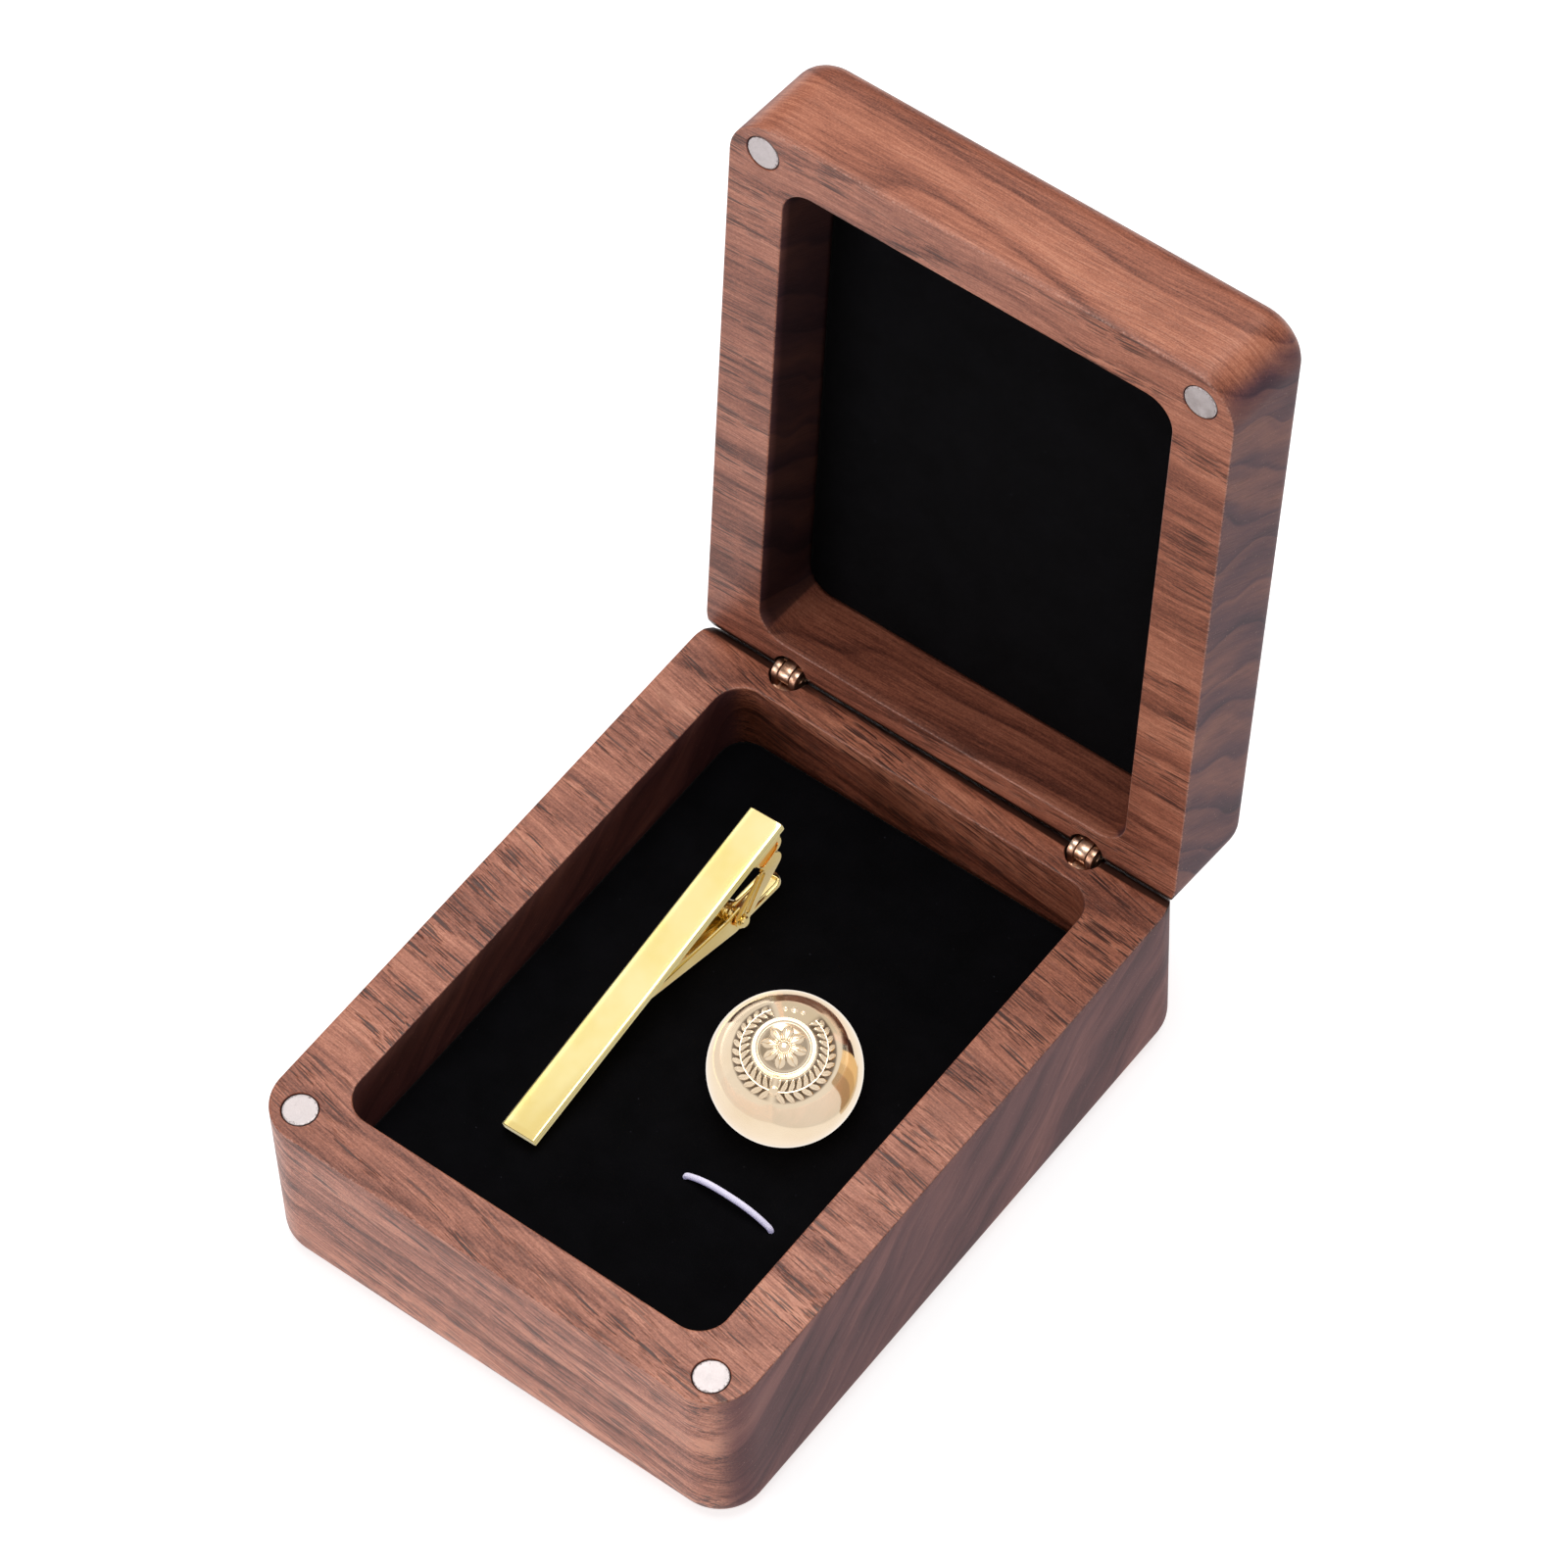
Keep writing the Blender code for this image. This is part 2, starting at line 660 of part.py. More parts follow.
def make_tie_bar():
    tilt = resting_tilt()
    pivot_z = base_velvet_top + fit_gap + lever_drop(tilt)
    frame = add_frame("tie_bar_frame", (bar_pivot_x, bar_pivot_y, pivot_z), (tilt, bar_roll, bar_yaw))
    half = bar_width / 2
    profile = ((bar_front, bar_under), (bar_rear, bar_under), (bar_rear, bar_top), (bar_front, bar_top))
    face = add_object("tie_bar_face", extrude_along_x(profile, -half, half), bar_gold, frame)
    bevel = face.modifiers.new("soft_edges", "BEVEL")
    bevel.width = bar_edge_round
    bevel.segments = 2

    rear = bar_rear - plate_rear_inset
    plate = ((rear - plate_length, plate_under), (rear, plate_under), (rear, plate_top),
             (rear - plate_length, plate_top))
    bracket = add_object("tie_bar_bracket", extrude_along_x(plate, -arm_outer, arm_outer),
                         clasp_gold, frame)
    for side, sign in (("left", -1), ("right", 1)):
        low, high = sorted((sign * arm_inner, sign * arm_outer))
        arm = add_object(f"bracket_arm_{side}", extrude_along_x(arm_profile(), low, high), parent=frame)
        combine(bracket, as_cutter(arm), "UNION")
    eye = cross_bar(bar_pin_radius + running_gap, -bar_width, bar_width)
    eye = as_cutter(add_object("cut_bar_eye", eye, parent=frame))
    combine(bracket, eye)

    jaw = add_object("tie_bar_jaw", extrude_along_x(jaw_profile(), -jaw_half_width, jaw_half_width),
                     clasp_gold, frame)
    inner = jaw_half_width - plate_thickness
    trough = extrude_along_x(jaw_trough_profile(), -inner, inner)
    combine(jaw, as_cutter(add_object("cut_jaw_trough", trough, parent=frame)))
    combine(jaw, eye)

    reach = arm_outer + fit_gap
    pin = add_object("tie_bar_pin", cross_bar(bar_pin_radius, -reach, reach), clasp_gold, frame,
                     math.radians(40))
    for side, sign in (("left", -1), ("right", 1)):
        low, high = sorted((sign * reach, sign * (reach + bar_pin_head_thickness)))
        head = cross_bar(bar_pin_head_radius, low - fit_gap / 4, high + fit_gap / 4)
        head = as_cutter(add_object(f"bar_pin_head_{side}", head, parent=frame))
        combine(pin, head, "UNION")
    make_bar_spring(frame)


# The least gap between two stretches of a wire that lie over half a turn apart.
def least_gap(points, radius, stride):
    gaps = []
    for index, point in enumerate(points):
        for other in points[index + stride:]:
            gaps.append(math.dist(point, other) - 2 * radius)
    return min(gaps)


# The spring's wire: a leg under the bracket's plate, turns about the pivot pin, and a
# short leg over the lever's tail.
def make_bar_spring(frame):
    turns = spring_turns + spring_last_turn_share
    left = -turns * spring_pitch / 2
    plate_front = bar_rear - plate_rear_inset - plate_length
    lift = plate_under - fit_gap - spring_wire_radius
    points = [
        (left, plate_front + plate_length / 2, lift),
        (left, plate_front, lift),
        (left, spring_mean_radius, lift * spring_knee_share),
        (left, -spring_mean_radius, lift * spring_shin_share),
    ]
    count = round(turns * spring_turn_points)
    for index in range(count + 1):
        turn = index / spring_turn_points
        angle = math.pi + 2 * math.pi * turn
        points.append((left + spring_pitch * turn, spring_mean_radius * math.cos(angle),
                       spring_mean_radius * math.sin(angle)))
    points.append((points[-1][0], spring_tail_leg, -spring_mean_radius))
    gap = least_gap(points, spring_wire_radius, spring_turn_points // 2)
    print(f"tie_bar_spring: least gap between turns {1000 * gap:.2f} mm")
    curve = bpy.data.curves.new("tie_bar_spring", "CURVE")
    curve.dimensions = "3D"
    curve.bevel_depth = spring_wire_radius
    curve.bevel_resolution = 1
    curve.use_fill_caps = True
    spline = curve.splines.new("POLY")
    spline.points.add(len(points) - 1)
    for point, place in zip(spline.points, points):
        point.co = (*place, 1.0)
    spring = bpy.data.objects.new("tie_bar_spring", curve)
    bpy.context.collection.objects.link(spring)
    curve.materials.append(clasp_gold)
    spring.parent = frame


# Cufflink: a shell-like dome closed by a back plate, on a post that stands in the pad.
def dome_cut():
    return dome_radius * dome_cut_share


def post_reach():
    return dome_cut() + post_length + foot_thickness


# The height of the dome's centre that lays its rim on the pad.
def dome_height():
    rim = math.sqrt(dome_radius ** 2 - dome_cut() ** 2)
    drop = dome_cut() * math.cos(dome_lean) + rim * math.sin(dome_lean)
    return base_velvet_top + fit_gap + drop


cufflink_frame = add_frame("cufflink_frame", (dome_centre_x, dome_centre_y, dome_height()),
                           (0.0, dome_lean, dome_lean_heading))


# Turns a profile of (radius, height) points about Z.
def revolve(profile, steps=dome_turn_steps):
    shape = bmesh.new()
    verts = [shape.verts.new((r, 0.0, z)) for r, z in profile]
    closed = profile[0][0] > 0
    edges = [shape.edges.new(pair) for pair in zip(verts, verts[1:])]
    if closed:
        edges.append(shape.edges.new((verts[-1], verts[0])))
    bmesh.ops.spin(shape, geom=verts + edges, cent=(0, 0, 0), axis=(0, 0, 1),
                   angle=2 * math.pi, steps=steps, use_merge=True)
    bmesh.ops.remove_doubles(shape, verts=shape.verts, dist=fit_gap / 100)
    return shape


def make_cufflink():
    cut = dome_cut()
    inner = dome_radius - dome_shell
    top_angle = math.pi / 2
    low_angle = -math.asin(cut / dome_radius)
    inner_low = -math.asin(cut / inner)
    profile = []
    for step in range(dome_steps + 1):
        angle = top_angle + (low_angle - top_angle) * step / dome_steps
        profile.append((dome_radius * math.cos(angle), dome_radius * math.sin(angle)))
    for step in range(dome_steps + 1):
        angle = inner_low + (top_angle - inner_low) * step / dome_steps
        profile.append((inner * math.cos(angle), inner * math.sin(angle)))
    profile[0] = (0.0, dome_radius)
    profile[-1] = (0.0, inner)
    add_object("cufflink_dome", revolve(profile), dome_gold, cufflink_frame, math.radians(40))

    rim = math.sqrt(inner ** 2 - cut ** 2) - fit_gap
    plate = ((0.0, -cut), (rim, -cut), (rim, back_thickness - cut), (0.0, back_thickness - cut))
    add_object("cufflink_back", revolve(plate), dome_gold, cufflink_frame, math.radians(40))

    low = -cut - fit_gap - post_length
    post = add_object("cufflink_post", round_bar(post_radius, low, -cut - fit_gap, steps=20),
                      dome_gold, cufflink_frame, math.radians(40))
    half_x = foot_width / 2
    half_y = foot_length / 2 - half_x
    outline = []
    for end, sign in enumerate((1, -1)):
        for step in range(foot_end_steps + 1):
            angle = math.pi * (end + step / foot_end_steps)
            outline.append((half_x * math.cos(angle), sign * half_y + half_x * math.sin(angle)))
    foot = stack_rings(((outline, -post_reach()), (outline, low + fit_gap)))
    combine(post, as_cutter(add_object("cufflink_foot", foot, parent=cufflink_frame)), "UNION")


make_base()
make_lid()
make_magnets()
make_hinges()
make_linings()
make_elastic_loop()
make_tie_bar()
make_cufflink()
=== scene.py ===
# Walnut presentation box with a tie bar and a domed cufflink, dressed over its fixed frame.
# Metres, +Z up, X along the hinge, the open lid at the back.

import math

import bpy
import numpy as np
from mathutils import Matrix, Vector


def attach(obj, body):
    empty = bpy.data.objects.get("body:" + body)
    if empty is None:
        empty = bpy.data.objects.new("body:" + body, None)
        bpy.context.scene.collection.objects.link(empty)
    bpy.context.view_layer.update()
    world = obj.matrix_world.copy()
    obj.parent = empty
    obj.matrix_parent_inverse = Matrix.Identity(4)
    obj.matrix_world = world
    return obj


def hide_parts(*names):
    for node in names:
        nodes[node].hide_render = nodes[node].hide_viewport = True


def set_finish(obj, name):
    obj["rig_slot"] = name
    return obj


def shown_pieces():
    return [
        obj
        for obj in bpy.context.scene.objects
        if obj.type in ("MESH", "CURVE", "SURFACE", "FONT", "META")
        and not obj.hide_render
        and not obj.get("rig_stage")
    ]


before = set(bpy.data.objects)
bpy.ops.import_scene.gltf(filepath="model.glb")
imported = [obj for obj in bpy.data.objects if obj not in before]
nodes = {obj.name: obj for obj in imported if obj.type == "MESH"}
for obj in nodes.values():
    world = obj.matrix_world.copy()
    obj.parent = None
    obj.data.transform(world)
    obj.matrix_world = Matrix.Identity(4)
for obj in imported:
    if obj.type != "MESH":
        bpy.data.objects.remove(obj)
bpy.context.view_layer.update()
mm = 0.001
print("frame loaded:", len(nodes), "solids")


# Camera: the photograph's viewpoint, as a place and the three directions of its frame
view = {
    "place": (0.357224, -0.413552, 0.860544),
    "right": (0.79453611, 0.60648265, -0.02985249),
    "up": (-0.48376889, 0.66195326, 0.57252558),
    "forward": (-0.36698779, 0.44045054, -0.8193432),
    "lens": 169.93,
}


def addCamera(look):
    camera = bpy.data.objects.new("camera", bpy.data.cameras.new("camera"))
    bpy.context.scene.collection.objects.link(camera)
    axes = Matrix((look["right"], look["up"], -Vector(look["forward"]))).transposed()
    camera.matrix_world = Matrix.Translation(look["place"]) @ axes.to_4x4()
    camera.data.sensor_width = 36.0
    camera.data.lens = look["lens"]
    camera.data.clip_start = 0.05
    camera.data.clip_end = 20.0
    bpy.context.scene.camera = camera


addCamera(view)


# Frames of the lid, the tie bar and the cufflink, each a 4x4 matrix out to the box's own frame
hingeLine = Vector((0.0, 0.04785, 0.03055))
lidAngle = math.radians(96.66)
lidFrame = Matrix.Translation(hingeLine) @ Matrix.Rotation(-lidAngle, 4, "X")
baseFrame = Matrix.Translation(hingeLine)
flat = Matrix.Identity(4)
barFrame = Matrix.Translation((-0.0115072, 0.0158875, 0.0217118)) @ Matrix((
    (0.989876, 0.011278, -0.141484),
    (-0.039718, 0.979024, -0.199838),
    (0.136263, 0.203434, 0.969560),
)).to_4x4()
linkFrame = Matrix.Translation((0.0115692, -0.0016230, 0.0255032)) @ Matrix((
    (0.628108, 0.756995, 0.180107),
    (-0.727670, 0.653421, -0.208656),
    (-0.275637, 0.0, 0.961262),
)).to_4x4()


# Faces between neighbouring rows and columns of a grid of points; either way may close on itself
def gridFaces(rows, columns, closeRows=False, closeColumns=False):
    a = np.arange(rows if closeRows else rows - 1)[:, None]
    b = np.arange(columns if closeColumns else columns - 1)[None, :]
    nextA, nextB = (a + 1) % rows, (b + 1) % columns
    quads = np.stack([a * columns + b, a * columns + nextB, nextA * columns + nextB, nextA * columns + b], -1)
    return quads.reshape(-1, 4).tolist()


# A mesh object from arrays, moved out to its place by its frame; a closed one is turned face out
def makePiece(name, points, faces, place=flat, closed=True, smoothAngle=35.0):
    mesh = bpy.data.meshes.new(name)
    mesh.from_pydata(np.asarray(points, float).reshape(-1, 3).tolist(), [], faces)
    mesh.update()
    if closed and signedVolume(mesh) < 0:
        mesh.flip_normals()
    mesh.transform(place)
    piece = bpy.data.objects.new(name, mesh)
    bpy.context.scene.collection.objects.link(piece)
    shade(piece, smoothAngle)
    return piece


def vertexArray(mesh):
    flatList = np.empty(len(mesh.vertices) * 3, np.float32)
    mesh.vertices.foreach_get("co", flatList)
    return flatList.reshape(-1, 3).astype(float)


# Sum of the tetrahedra from the origin to each triangle
def signedVolume(mesh):
    mesh.calc_loop_triangles()
    corners = np.empty(len(mesh.loop_triangles) * 3, np.int32)
    mesh.loop_triangles.foreach_get("vertices", corners)
    p = vertexArray(mesh)[corners.reshape(-1, 3)]
    return float(np.einsum("ij,ij->i", p[:, 0], np.cross(p[:, 1], p[:, 2])).sum() / 6)


def shade(piece, smoothAngle):
    if smoothAngle is None:
        piece.data.shade_flat()
        return
    piece.data.shade_smooth()
    piece.data.set_sharp_from_angle(angle=math.radians(smoothAngle))


# Cuts or joins guides by Boolean, rounds what is left if asked, and makes the result the piece's mesh
def carve(piece, guides=(), operation="DIFFERENCE", rounding=0.0, segments=2, smoothAngle=35.0):
    for guide in guides:
        step = piece.modifiers.new(guide.name, "BOOLEAN")
        step.object, step.operation, step.solver = guide, operation, "EXACT"
    if rounding:
        step = piece.modifiers.new("rounding", "BEVEL")
        step.width, step.segments, step.limit_method = rounding, segments, "ANGLE"
        step.angle_limit = math.radians(38)
    settle(piece)
    for guide in guides:
        bpy.data.objects.remove(guide, do_unlink=True)
    shade(piece, smoothAngle)
    return piece


def settle(piece):
    shown = piece.evaluated_get(bpy.context.evaluated_depsgraph_get())
    mesh = bpy.data.meshes.new_from_object(shown)
    piece.modifiers.clear()
    piece.data = mesh
    mesh.name = piece.name


# Rides on a body, takes a material, and stands for the solids that it replaces
def dress(piece, body, material, slotName, replaced=()):
    piece.data.materials.clear()
    piece.data.materials.append(material)
    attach(piece, body)
    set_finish(piece, slotName)
    if replaced:
        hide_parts(*replaced)
    return piece


# A rectangle with quarter-circle corners, walked once round from its +X side; the counts are fixed,
# so any two of them match point for point
def roundRectangle(halfX, lowY, highY, radius, inset=0.0, cornerSteps=20, sideSteps=36):
    reach = radius - inset
    centres = np.array([
        (halfX - radius, highY - radius), (radius - halfX, highY - radius),
        (radius - halfX, lowY + radius), (halfX - radius, lowY + radius),
    ])
    turn = np.linspace(0, math.pi / 2, cornerSteps + 1)
    angles = turn[None, :] + np.arange(4)[:, None] * math.pi / 2
    arcs = centres[:, None, :] + reach * np.stack([np.cos(angles), np.sin(angles)], -1)
    ends, starts = arcs[:, -1:, :], np.roll(arcs[:, :1, :], -1, axis=0)
    along = np.linspace(0, 1, sideSteps + 1)[1:-1][None, :, None]
    sides = ends + (starts - ends) * along
    return np.concatenate([arcs, sides], axis=1).reshape(-1, 2)


# Rings of points joined into a tube, with a flat face over each end
def ringFaces(rows, columns):
    faces = gridFaces(rows, columns, closeColumns=True)
    return faces + [list(range(columns))[::-1], list(range((rows - 1) * columns, rows * columns))]


# A surface through outlines of equal count, each at its own height, with flat ends
def stackOutlines(outlines, heights):
    outlines = np.asarray(outlines)
    heights = np.broadcast_to(np.asarray(heights)[:, None, None], outlines.shape[:2] + (1,))
    points = np.concatenate([outlines, heights], -1)
    return points.reshape(-1, 3), ringFaces(*points.shape[:2])


# Closes the open ends of a grid of rings by a fan of triangles to each pole
def closePoles(points, faces, poles, steps):
    count = len(points)
    first = np.arange(steps)
    last = count - steps + first
    for pole, a, b in ((count, np.roll(first, -1), first), (count + 1, last, np.roll(last, -1))):
        faces += np.stack([np.full(steps, pole), a, b], -1).tolist()
    return np.concatenate([points, poles]), faces


# A turned solid: a profile of (radius, height) from axis to axis, carried round Z, or round X if asked
def turnedSolid(name, profile, place=flat, steps=64, smoothAngle=35.0, axis="Z"):
    profile = np.asarray(profile, float)
    inner = profile[1:-1]
    angle = np.arange(steps) * 2 * math.pi / steps
    x, y = inner[:, :1] * np.cos(angle), inner[:, :1] * np.sin(angle)
    points = np.stack([x, y, np.broadcast_to(inner[:, 1:], x.shape)], -1).reshape(-1, 3)
    poles = [(0, 0, profile[0, 1]), (0, 0, profile[-1, 1])]
    points, faces = closePoles(points, gridFaces(len(inner), steps, closeColumns=True), poles, steps)
    if axis == "X":
        points = points[:, (2, 0, 1)]
    return makePiece(name, points, faces, place, smoothAngle=smoothAngle)


# A closed outline in the YZ plane drawn out along X between two places
def crossPlate(name, outline, lowX, highX, place=flat, smoothAngle=35.0):
    outline = np.asarray(outline, float)
    near, far = (np.column_stack([np.full(len(outline), x), outline]) for x in (lowX, highX))
    faces = ringFaces(2, len(outline))
    return makePiece(name, np.concatenate([near, far]), faces, place, smoothAngle=smoothAngle)


# The hole for a pin: a round bar along X, a little wider than the pin
def pinCutter(pin, place=flat, play=0.08 * mm, reach=5.0 * mm):
    profile = [(0, -reach), (pin + play, -reach), (pin + play, reach), (0, reach)]
    return turnedSolid("cutEye", profile, place, 40, axis="X")


# Keeps a number for each point, which a material reads by its name
def keepValues(piece, name, values):
    layer = piece.data.attributes.new(name, "FLOAT", "POINT")
    layer.data.foreach_set("value", np.asarray(values).astype(np.float32))


# A round tube along a path: at each point a circle across the path, its frame carried along without twist.
# The sheath map runs round the tube (u) and along it in metres (v)
def tubeAlong(name, path, radius, sides=16, place=flat):
    path = np.asarray(path, float)
    tangent = np.gradient(path, axis=0)
    tangent /= np.linalg.norm(tangent, axis=1)[:, None]
    side = np.zeros_like(path)
    side[0] = np.cross(tangent[0], (0.31, 0.9, 0.27))
    # Each frame is the last one, made square to the new direction
    for index in range(1, len(path)):
        side[index] = side[index - 1] if index > 1 else side[0]
        side[index] -= tangent[index] * (side[index] @ tangent[index])
        side[index] /= np.linalg.norm(side[index])
    side[0] = side[1] - tangent[0] * (side[1] @ tangent[0])
    side[0] /= np.linalg.norm(side[0])
    other = np.cross(tangent, side)
    angle = np.arange(sides) * 2 * math.pi / sides
    radius = np.broadcast_to(np.asarray(radius, float), (len(path),))[:, None, None]
    points = path[:, None, :] + radius * (
        np.cos(angle)[None, :, None] * side[:, None, :] + np.sin(angle)[None, :, None] * other[:, None, :])
    piece = makePiece(name, points, ringFaces(len(path), sides), place)
    along = np.concatenate([[0], np.cumsum(np.linalg.norm(np.diff(path, axis=0), axis=1))])
    corner = np.empty(len(piece.data.loops), np.int32)
    piece.data.loops.foreach_get("vertex_index", corner)
    column, row = corner % sides, corner // sides
    start = np.repeat([polygon.loop_start for polygon in piece.data.polygons],
                      [polygon.loop_total for polygon in piece.data.polygons])
    wraps = np.zeros(len(corner), bool)
    np.logical_or.at(wraps, start, column == sides - 1)
    u = np.where(wraps[start] & (column == 0), sides, column) / sides
    layer = piece.data.uv_layers.new(name="sheath")
    layer.data.foreach_set("uv", np.column_stack([u, along[row]]).astype(np.float32).ravel())
    return piece


# Small helpers for building materials out of nodes
class Shop:
    def __init__(self, name, roughness=0.5, metallic=0.0):
        self.material = bpy.data.materials.new(name)
        self.material.use_nodes = True
        self.tree = self.material.node_tree
        self.shader = self.tree.nodes["Principled BSDF"]
        self.shader.inputs["Roughness"].default_value = roughness
        self.shader.inputs["Metallic"].default_value = metallic

    def node(self, kind, **settings):
        made = self.tree.nodes.new(kind)
        for key, value in settings.items():
            setattr(made, key, value)
        return made

    def join(self, source, target):
        self.tree.links.new(source, target)

    def feed(self, socket, value):
        if isinstance(value, bpy.types.NodeSocket):
            self.join(value, socket)
        elif value is not None:
            socket.default_value = value

    # Places in millimetres, turned and shifted if asked
    def place(self, turn=(0.0, 0.0, 0.0), scale=(1000.0,) * 3, shift=(0.0, 0.0, 0.0), source="Object"):
        coordinate = self.node("ShaderNodeTexCoord")
        mapping = self.node("ShaderNodeMapping")
        mapping.inputs["Rotation"].default_value = turn
        mapping.inputs["Scale"].default_value = scale
        mapping.inputs["Location"].default_value = shift
        self.join(coordinate.outputs[source], mapping.inputs["Vector"])
        return mapping.outputs["Vector"]

    def vector(self, operation, a, b=None):
        made = self.node("ShaderNodeVectorMath", operation=operation)
        self.feed(made.inputs[0], a)
        self.feed(made.inputs[1], b)
        return made.outputs["Vector"]

    def split(self, vector):
        made = self.node("ShaderNodeSeparateXYZ")
        self.join(vector, made.inputs[0])
        return made.outputs

    def attribute(self, name):
        return self.node("ShaderNodeAttribute", attribute_name=name).outputs["Fac"]

    def maths(self, operation, a, b=None, c=None):
        made = self.node("ShaderNodeMath", operation=operation)
        for socket, value in zip(made.inputs, (a, b, c)):
            self.feed(socket, value)
        return made.outputs[0]

    def plus(self, a, b):
        return self.maths("ADD", a, b)

    def minus(self, a, b):
        return self.maths("SUBTRACT", a, b)

    def times(self, a, b):
        return self.maths("MULTIPLY", a, b)

    def noise(self, place, stretch, detail=2.0, roughness=0.5, output="Fac"):
        made = self.node("ShaderNodeTexNoise")
        made.inputs["Scale"].default_value = 1.0
        made.inputs["Detail"].default_value = detail
        made.inputs["Roughness"].default_value = roughness
        self.join(self.vector("MULTIPLY", place, stretch), made.inputs["Vector"])
        return made.outputs[output]

    def remap(self, value, low, high, newLow=0.0, newHigh=1.0, smooth=True):
        made = self.node("ShaderNodeMapRange", clamp=True)
        made.interpolation_type = "SMOOTHSTEP" if smooth else "LINEAR"
        self.feed(made.inputs["Value"], value)
        for key, number in (("From Min", low), ("From Max", high), ("To Min", newLow), ("To Max", newHigh)):
            made.inputs[key].default_value = number
        return made.outputs["Result"]

    def ramp(self, factor, stops):
        made = self.node("ShaderNodeValToRGB")
        points = made.color_ramp.elements
        while len(points) < len(stops):
            points.new(0.5)
        for point, (position, colour) in zip(points, stops):
            point.position = position
            point.color = (*colour, 1.0)
        self.feed(made.inputs["Fac"], factor)
        return made.outputs["Color"]

    def mix(self, factor, a, b, blend="MIX"):
        made = self.node("ShaderNodeMix", data_type="RGBA", blend_type=blend)
        self.feed(made.inputs["Factor"], factor)
        for socket, value in ((made.inputs[6], a), (made.inputs[7], b)):
            self.feed(socket, (*value, 1.0) if isinstance(value, tuple) else value)
        return made.outputs[2]

    def blend(self, share, a, b):
        made = self.node("ShaderNodeMix", data_type="FLOAT")
        for socket, value in zip(made.inputs[:1] + made.inputs[2:4], (share, a, b)):
            self.feed(socket, value)
        return made.outputs[0]

    def bump(self, height, distance, strength=1.0):
        made = self.node("ShaderNodeBump")
        made.inputs["Strength"].default_value = strength
        made.inputs["Distance"].default_value = distance
        self.join(height, made.inputs["Height"])
        self.join(made.outputs["Normal"], self.shader.inputs["Normal"])

    def set(self, **values):
        for key, value in values.items():
            self.feed(self.shader.inputs[key.replace("_", " ")], value)
        return self.material


# Walnut: bands of growth run through the block; fine streaks and open pores lie in each face.
# Directions are in the block's own frame with the lid shut: X along the hinge, Z up. A share is how far
# that part moves the tone, and the porosities are those of the top and of the front
walnutLook = {
    "ringNormal": (0.10, -0.62, 0.78), "ringPitch": 5.5,
    "topGrain": (1.0, -0.16, 0.0), "frontGrain": (1.0, 0.0, -0.22), "endGrain": (0.0, 0.78, 0.62),
    "tones": (
        (0.00, (0.070, 0.018, 0.010)), (0.22, (0.150, 0.043, 0.024)), (0.42, (0.270, 0.086, 0.049)),
        (0.60, (0.385, 0.131, 0.075)), (0.78, (0.500, 0.186, 0.108)), (1.00, (0.620, 0.262, 0.160)),
    ),
    "endGrainAndCoolShadeTones": (
        (0.00, (0.066, 0.026, 0.031)), (0.35, (0.122, 0.047, 0.051)), (0.65, (0.188, 0.073, 0.071)),
        (1.00, (0.275, 0.115, 0.100)),
    ),
    "ringTones": ((0.0, 0.62), (0.55, 0.54), (0.86, 0.36), (0.94, 0.26), (1.0, 0.60)),
    "poreColour": (0.050, 0.015, 0.010), "paleDustWearAndHighlight": (0.62, 0.36, 0.28),
    "paintedRecessColour": (0.80, 0.72, 0.70), "shadeColour": (0.012, 0.006, 0.005),
    "middleTone": 0.55, "bandShare": 1.25, "ringShare": 0.55, "streakShare": 0.80, "fibreShare": 0.80,
    "speckShare": 0.75, "endBands": 1.9, "endRings": 0.6, "endStreaks": 0.35, "endFibres": 0.30,
    "endSpecks": 0.45, "porosity": (1.0, 1.0), "frontContrast": 1.45, "paintedFrontLight": 0.055,
    "roughness": 0.38, "gloss": 0.40, "endRoughness": 0.60, "endGloss": 0.24,
}


# Places in a face's own plane: first axis along the grain, second across it, third into the wood
def facePlace(shop, place, grain, normal):
    u = Vector(grain).normalized()
    w = (Vector(normal) - u * Vector(normal).dot(u)).normalized()
    turned = shop.node("ShaderNodeMapping")
    turned.inputs["Rotation"].default_value = Matrix((u, w.cross(u), w)).to_euler("XYZ")
    shop.join(place, turned.inputs["Vector"])
    return turned.outputs["Vector"]


# Pores as dashes: the near parts of stretched cells, each cell with its own chance and reach
def dashes(shop, place, length, width, low, high):
    cells = shop.node("ShaderNodeTexVoronoi", voronoi_dimensions="3D", feature="F1")
    cells.inputs["Scale"].default_value = 1.0
    stretch = (0.62 / length, 0.62 / width, 0.35 / width)
    shop.join(shop.vector("MULTIPLY", place, stretch), cells.inputs["Vector"])
    chance = shop.split(cells.outputs["Color"])["X"]
    reach = shop.remap(chance, 0.05, 0.8, low, high, smooth=False)
    return shop.remap(shop.minus(reach, cells.outputs["Distance"]), 0.0, 0.12)


# Pushes places about by a soft noise, so that lines drawn on them wander
def wandering(shop, place, stretch, detail, push):
    drift = shop.noise(place, stretch, detail, output="Color")
    drift = shop.vector("MULTIPLY", shop.vector("SUBTRACT", drift, (0.5, 0.5, 0.5)), push)
    return shop.vector("ADD", place, drift)


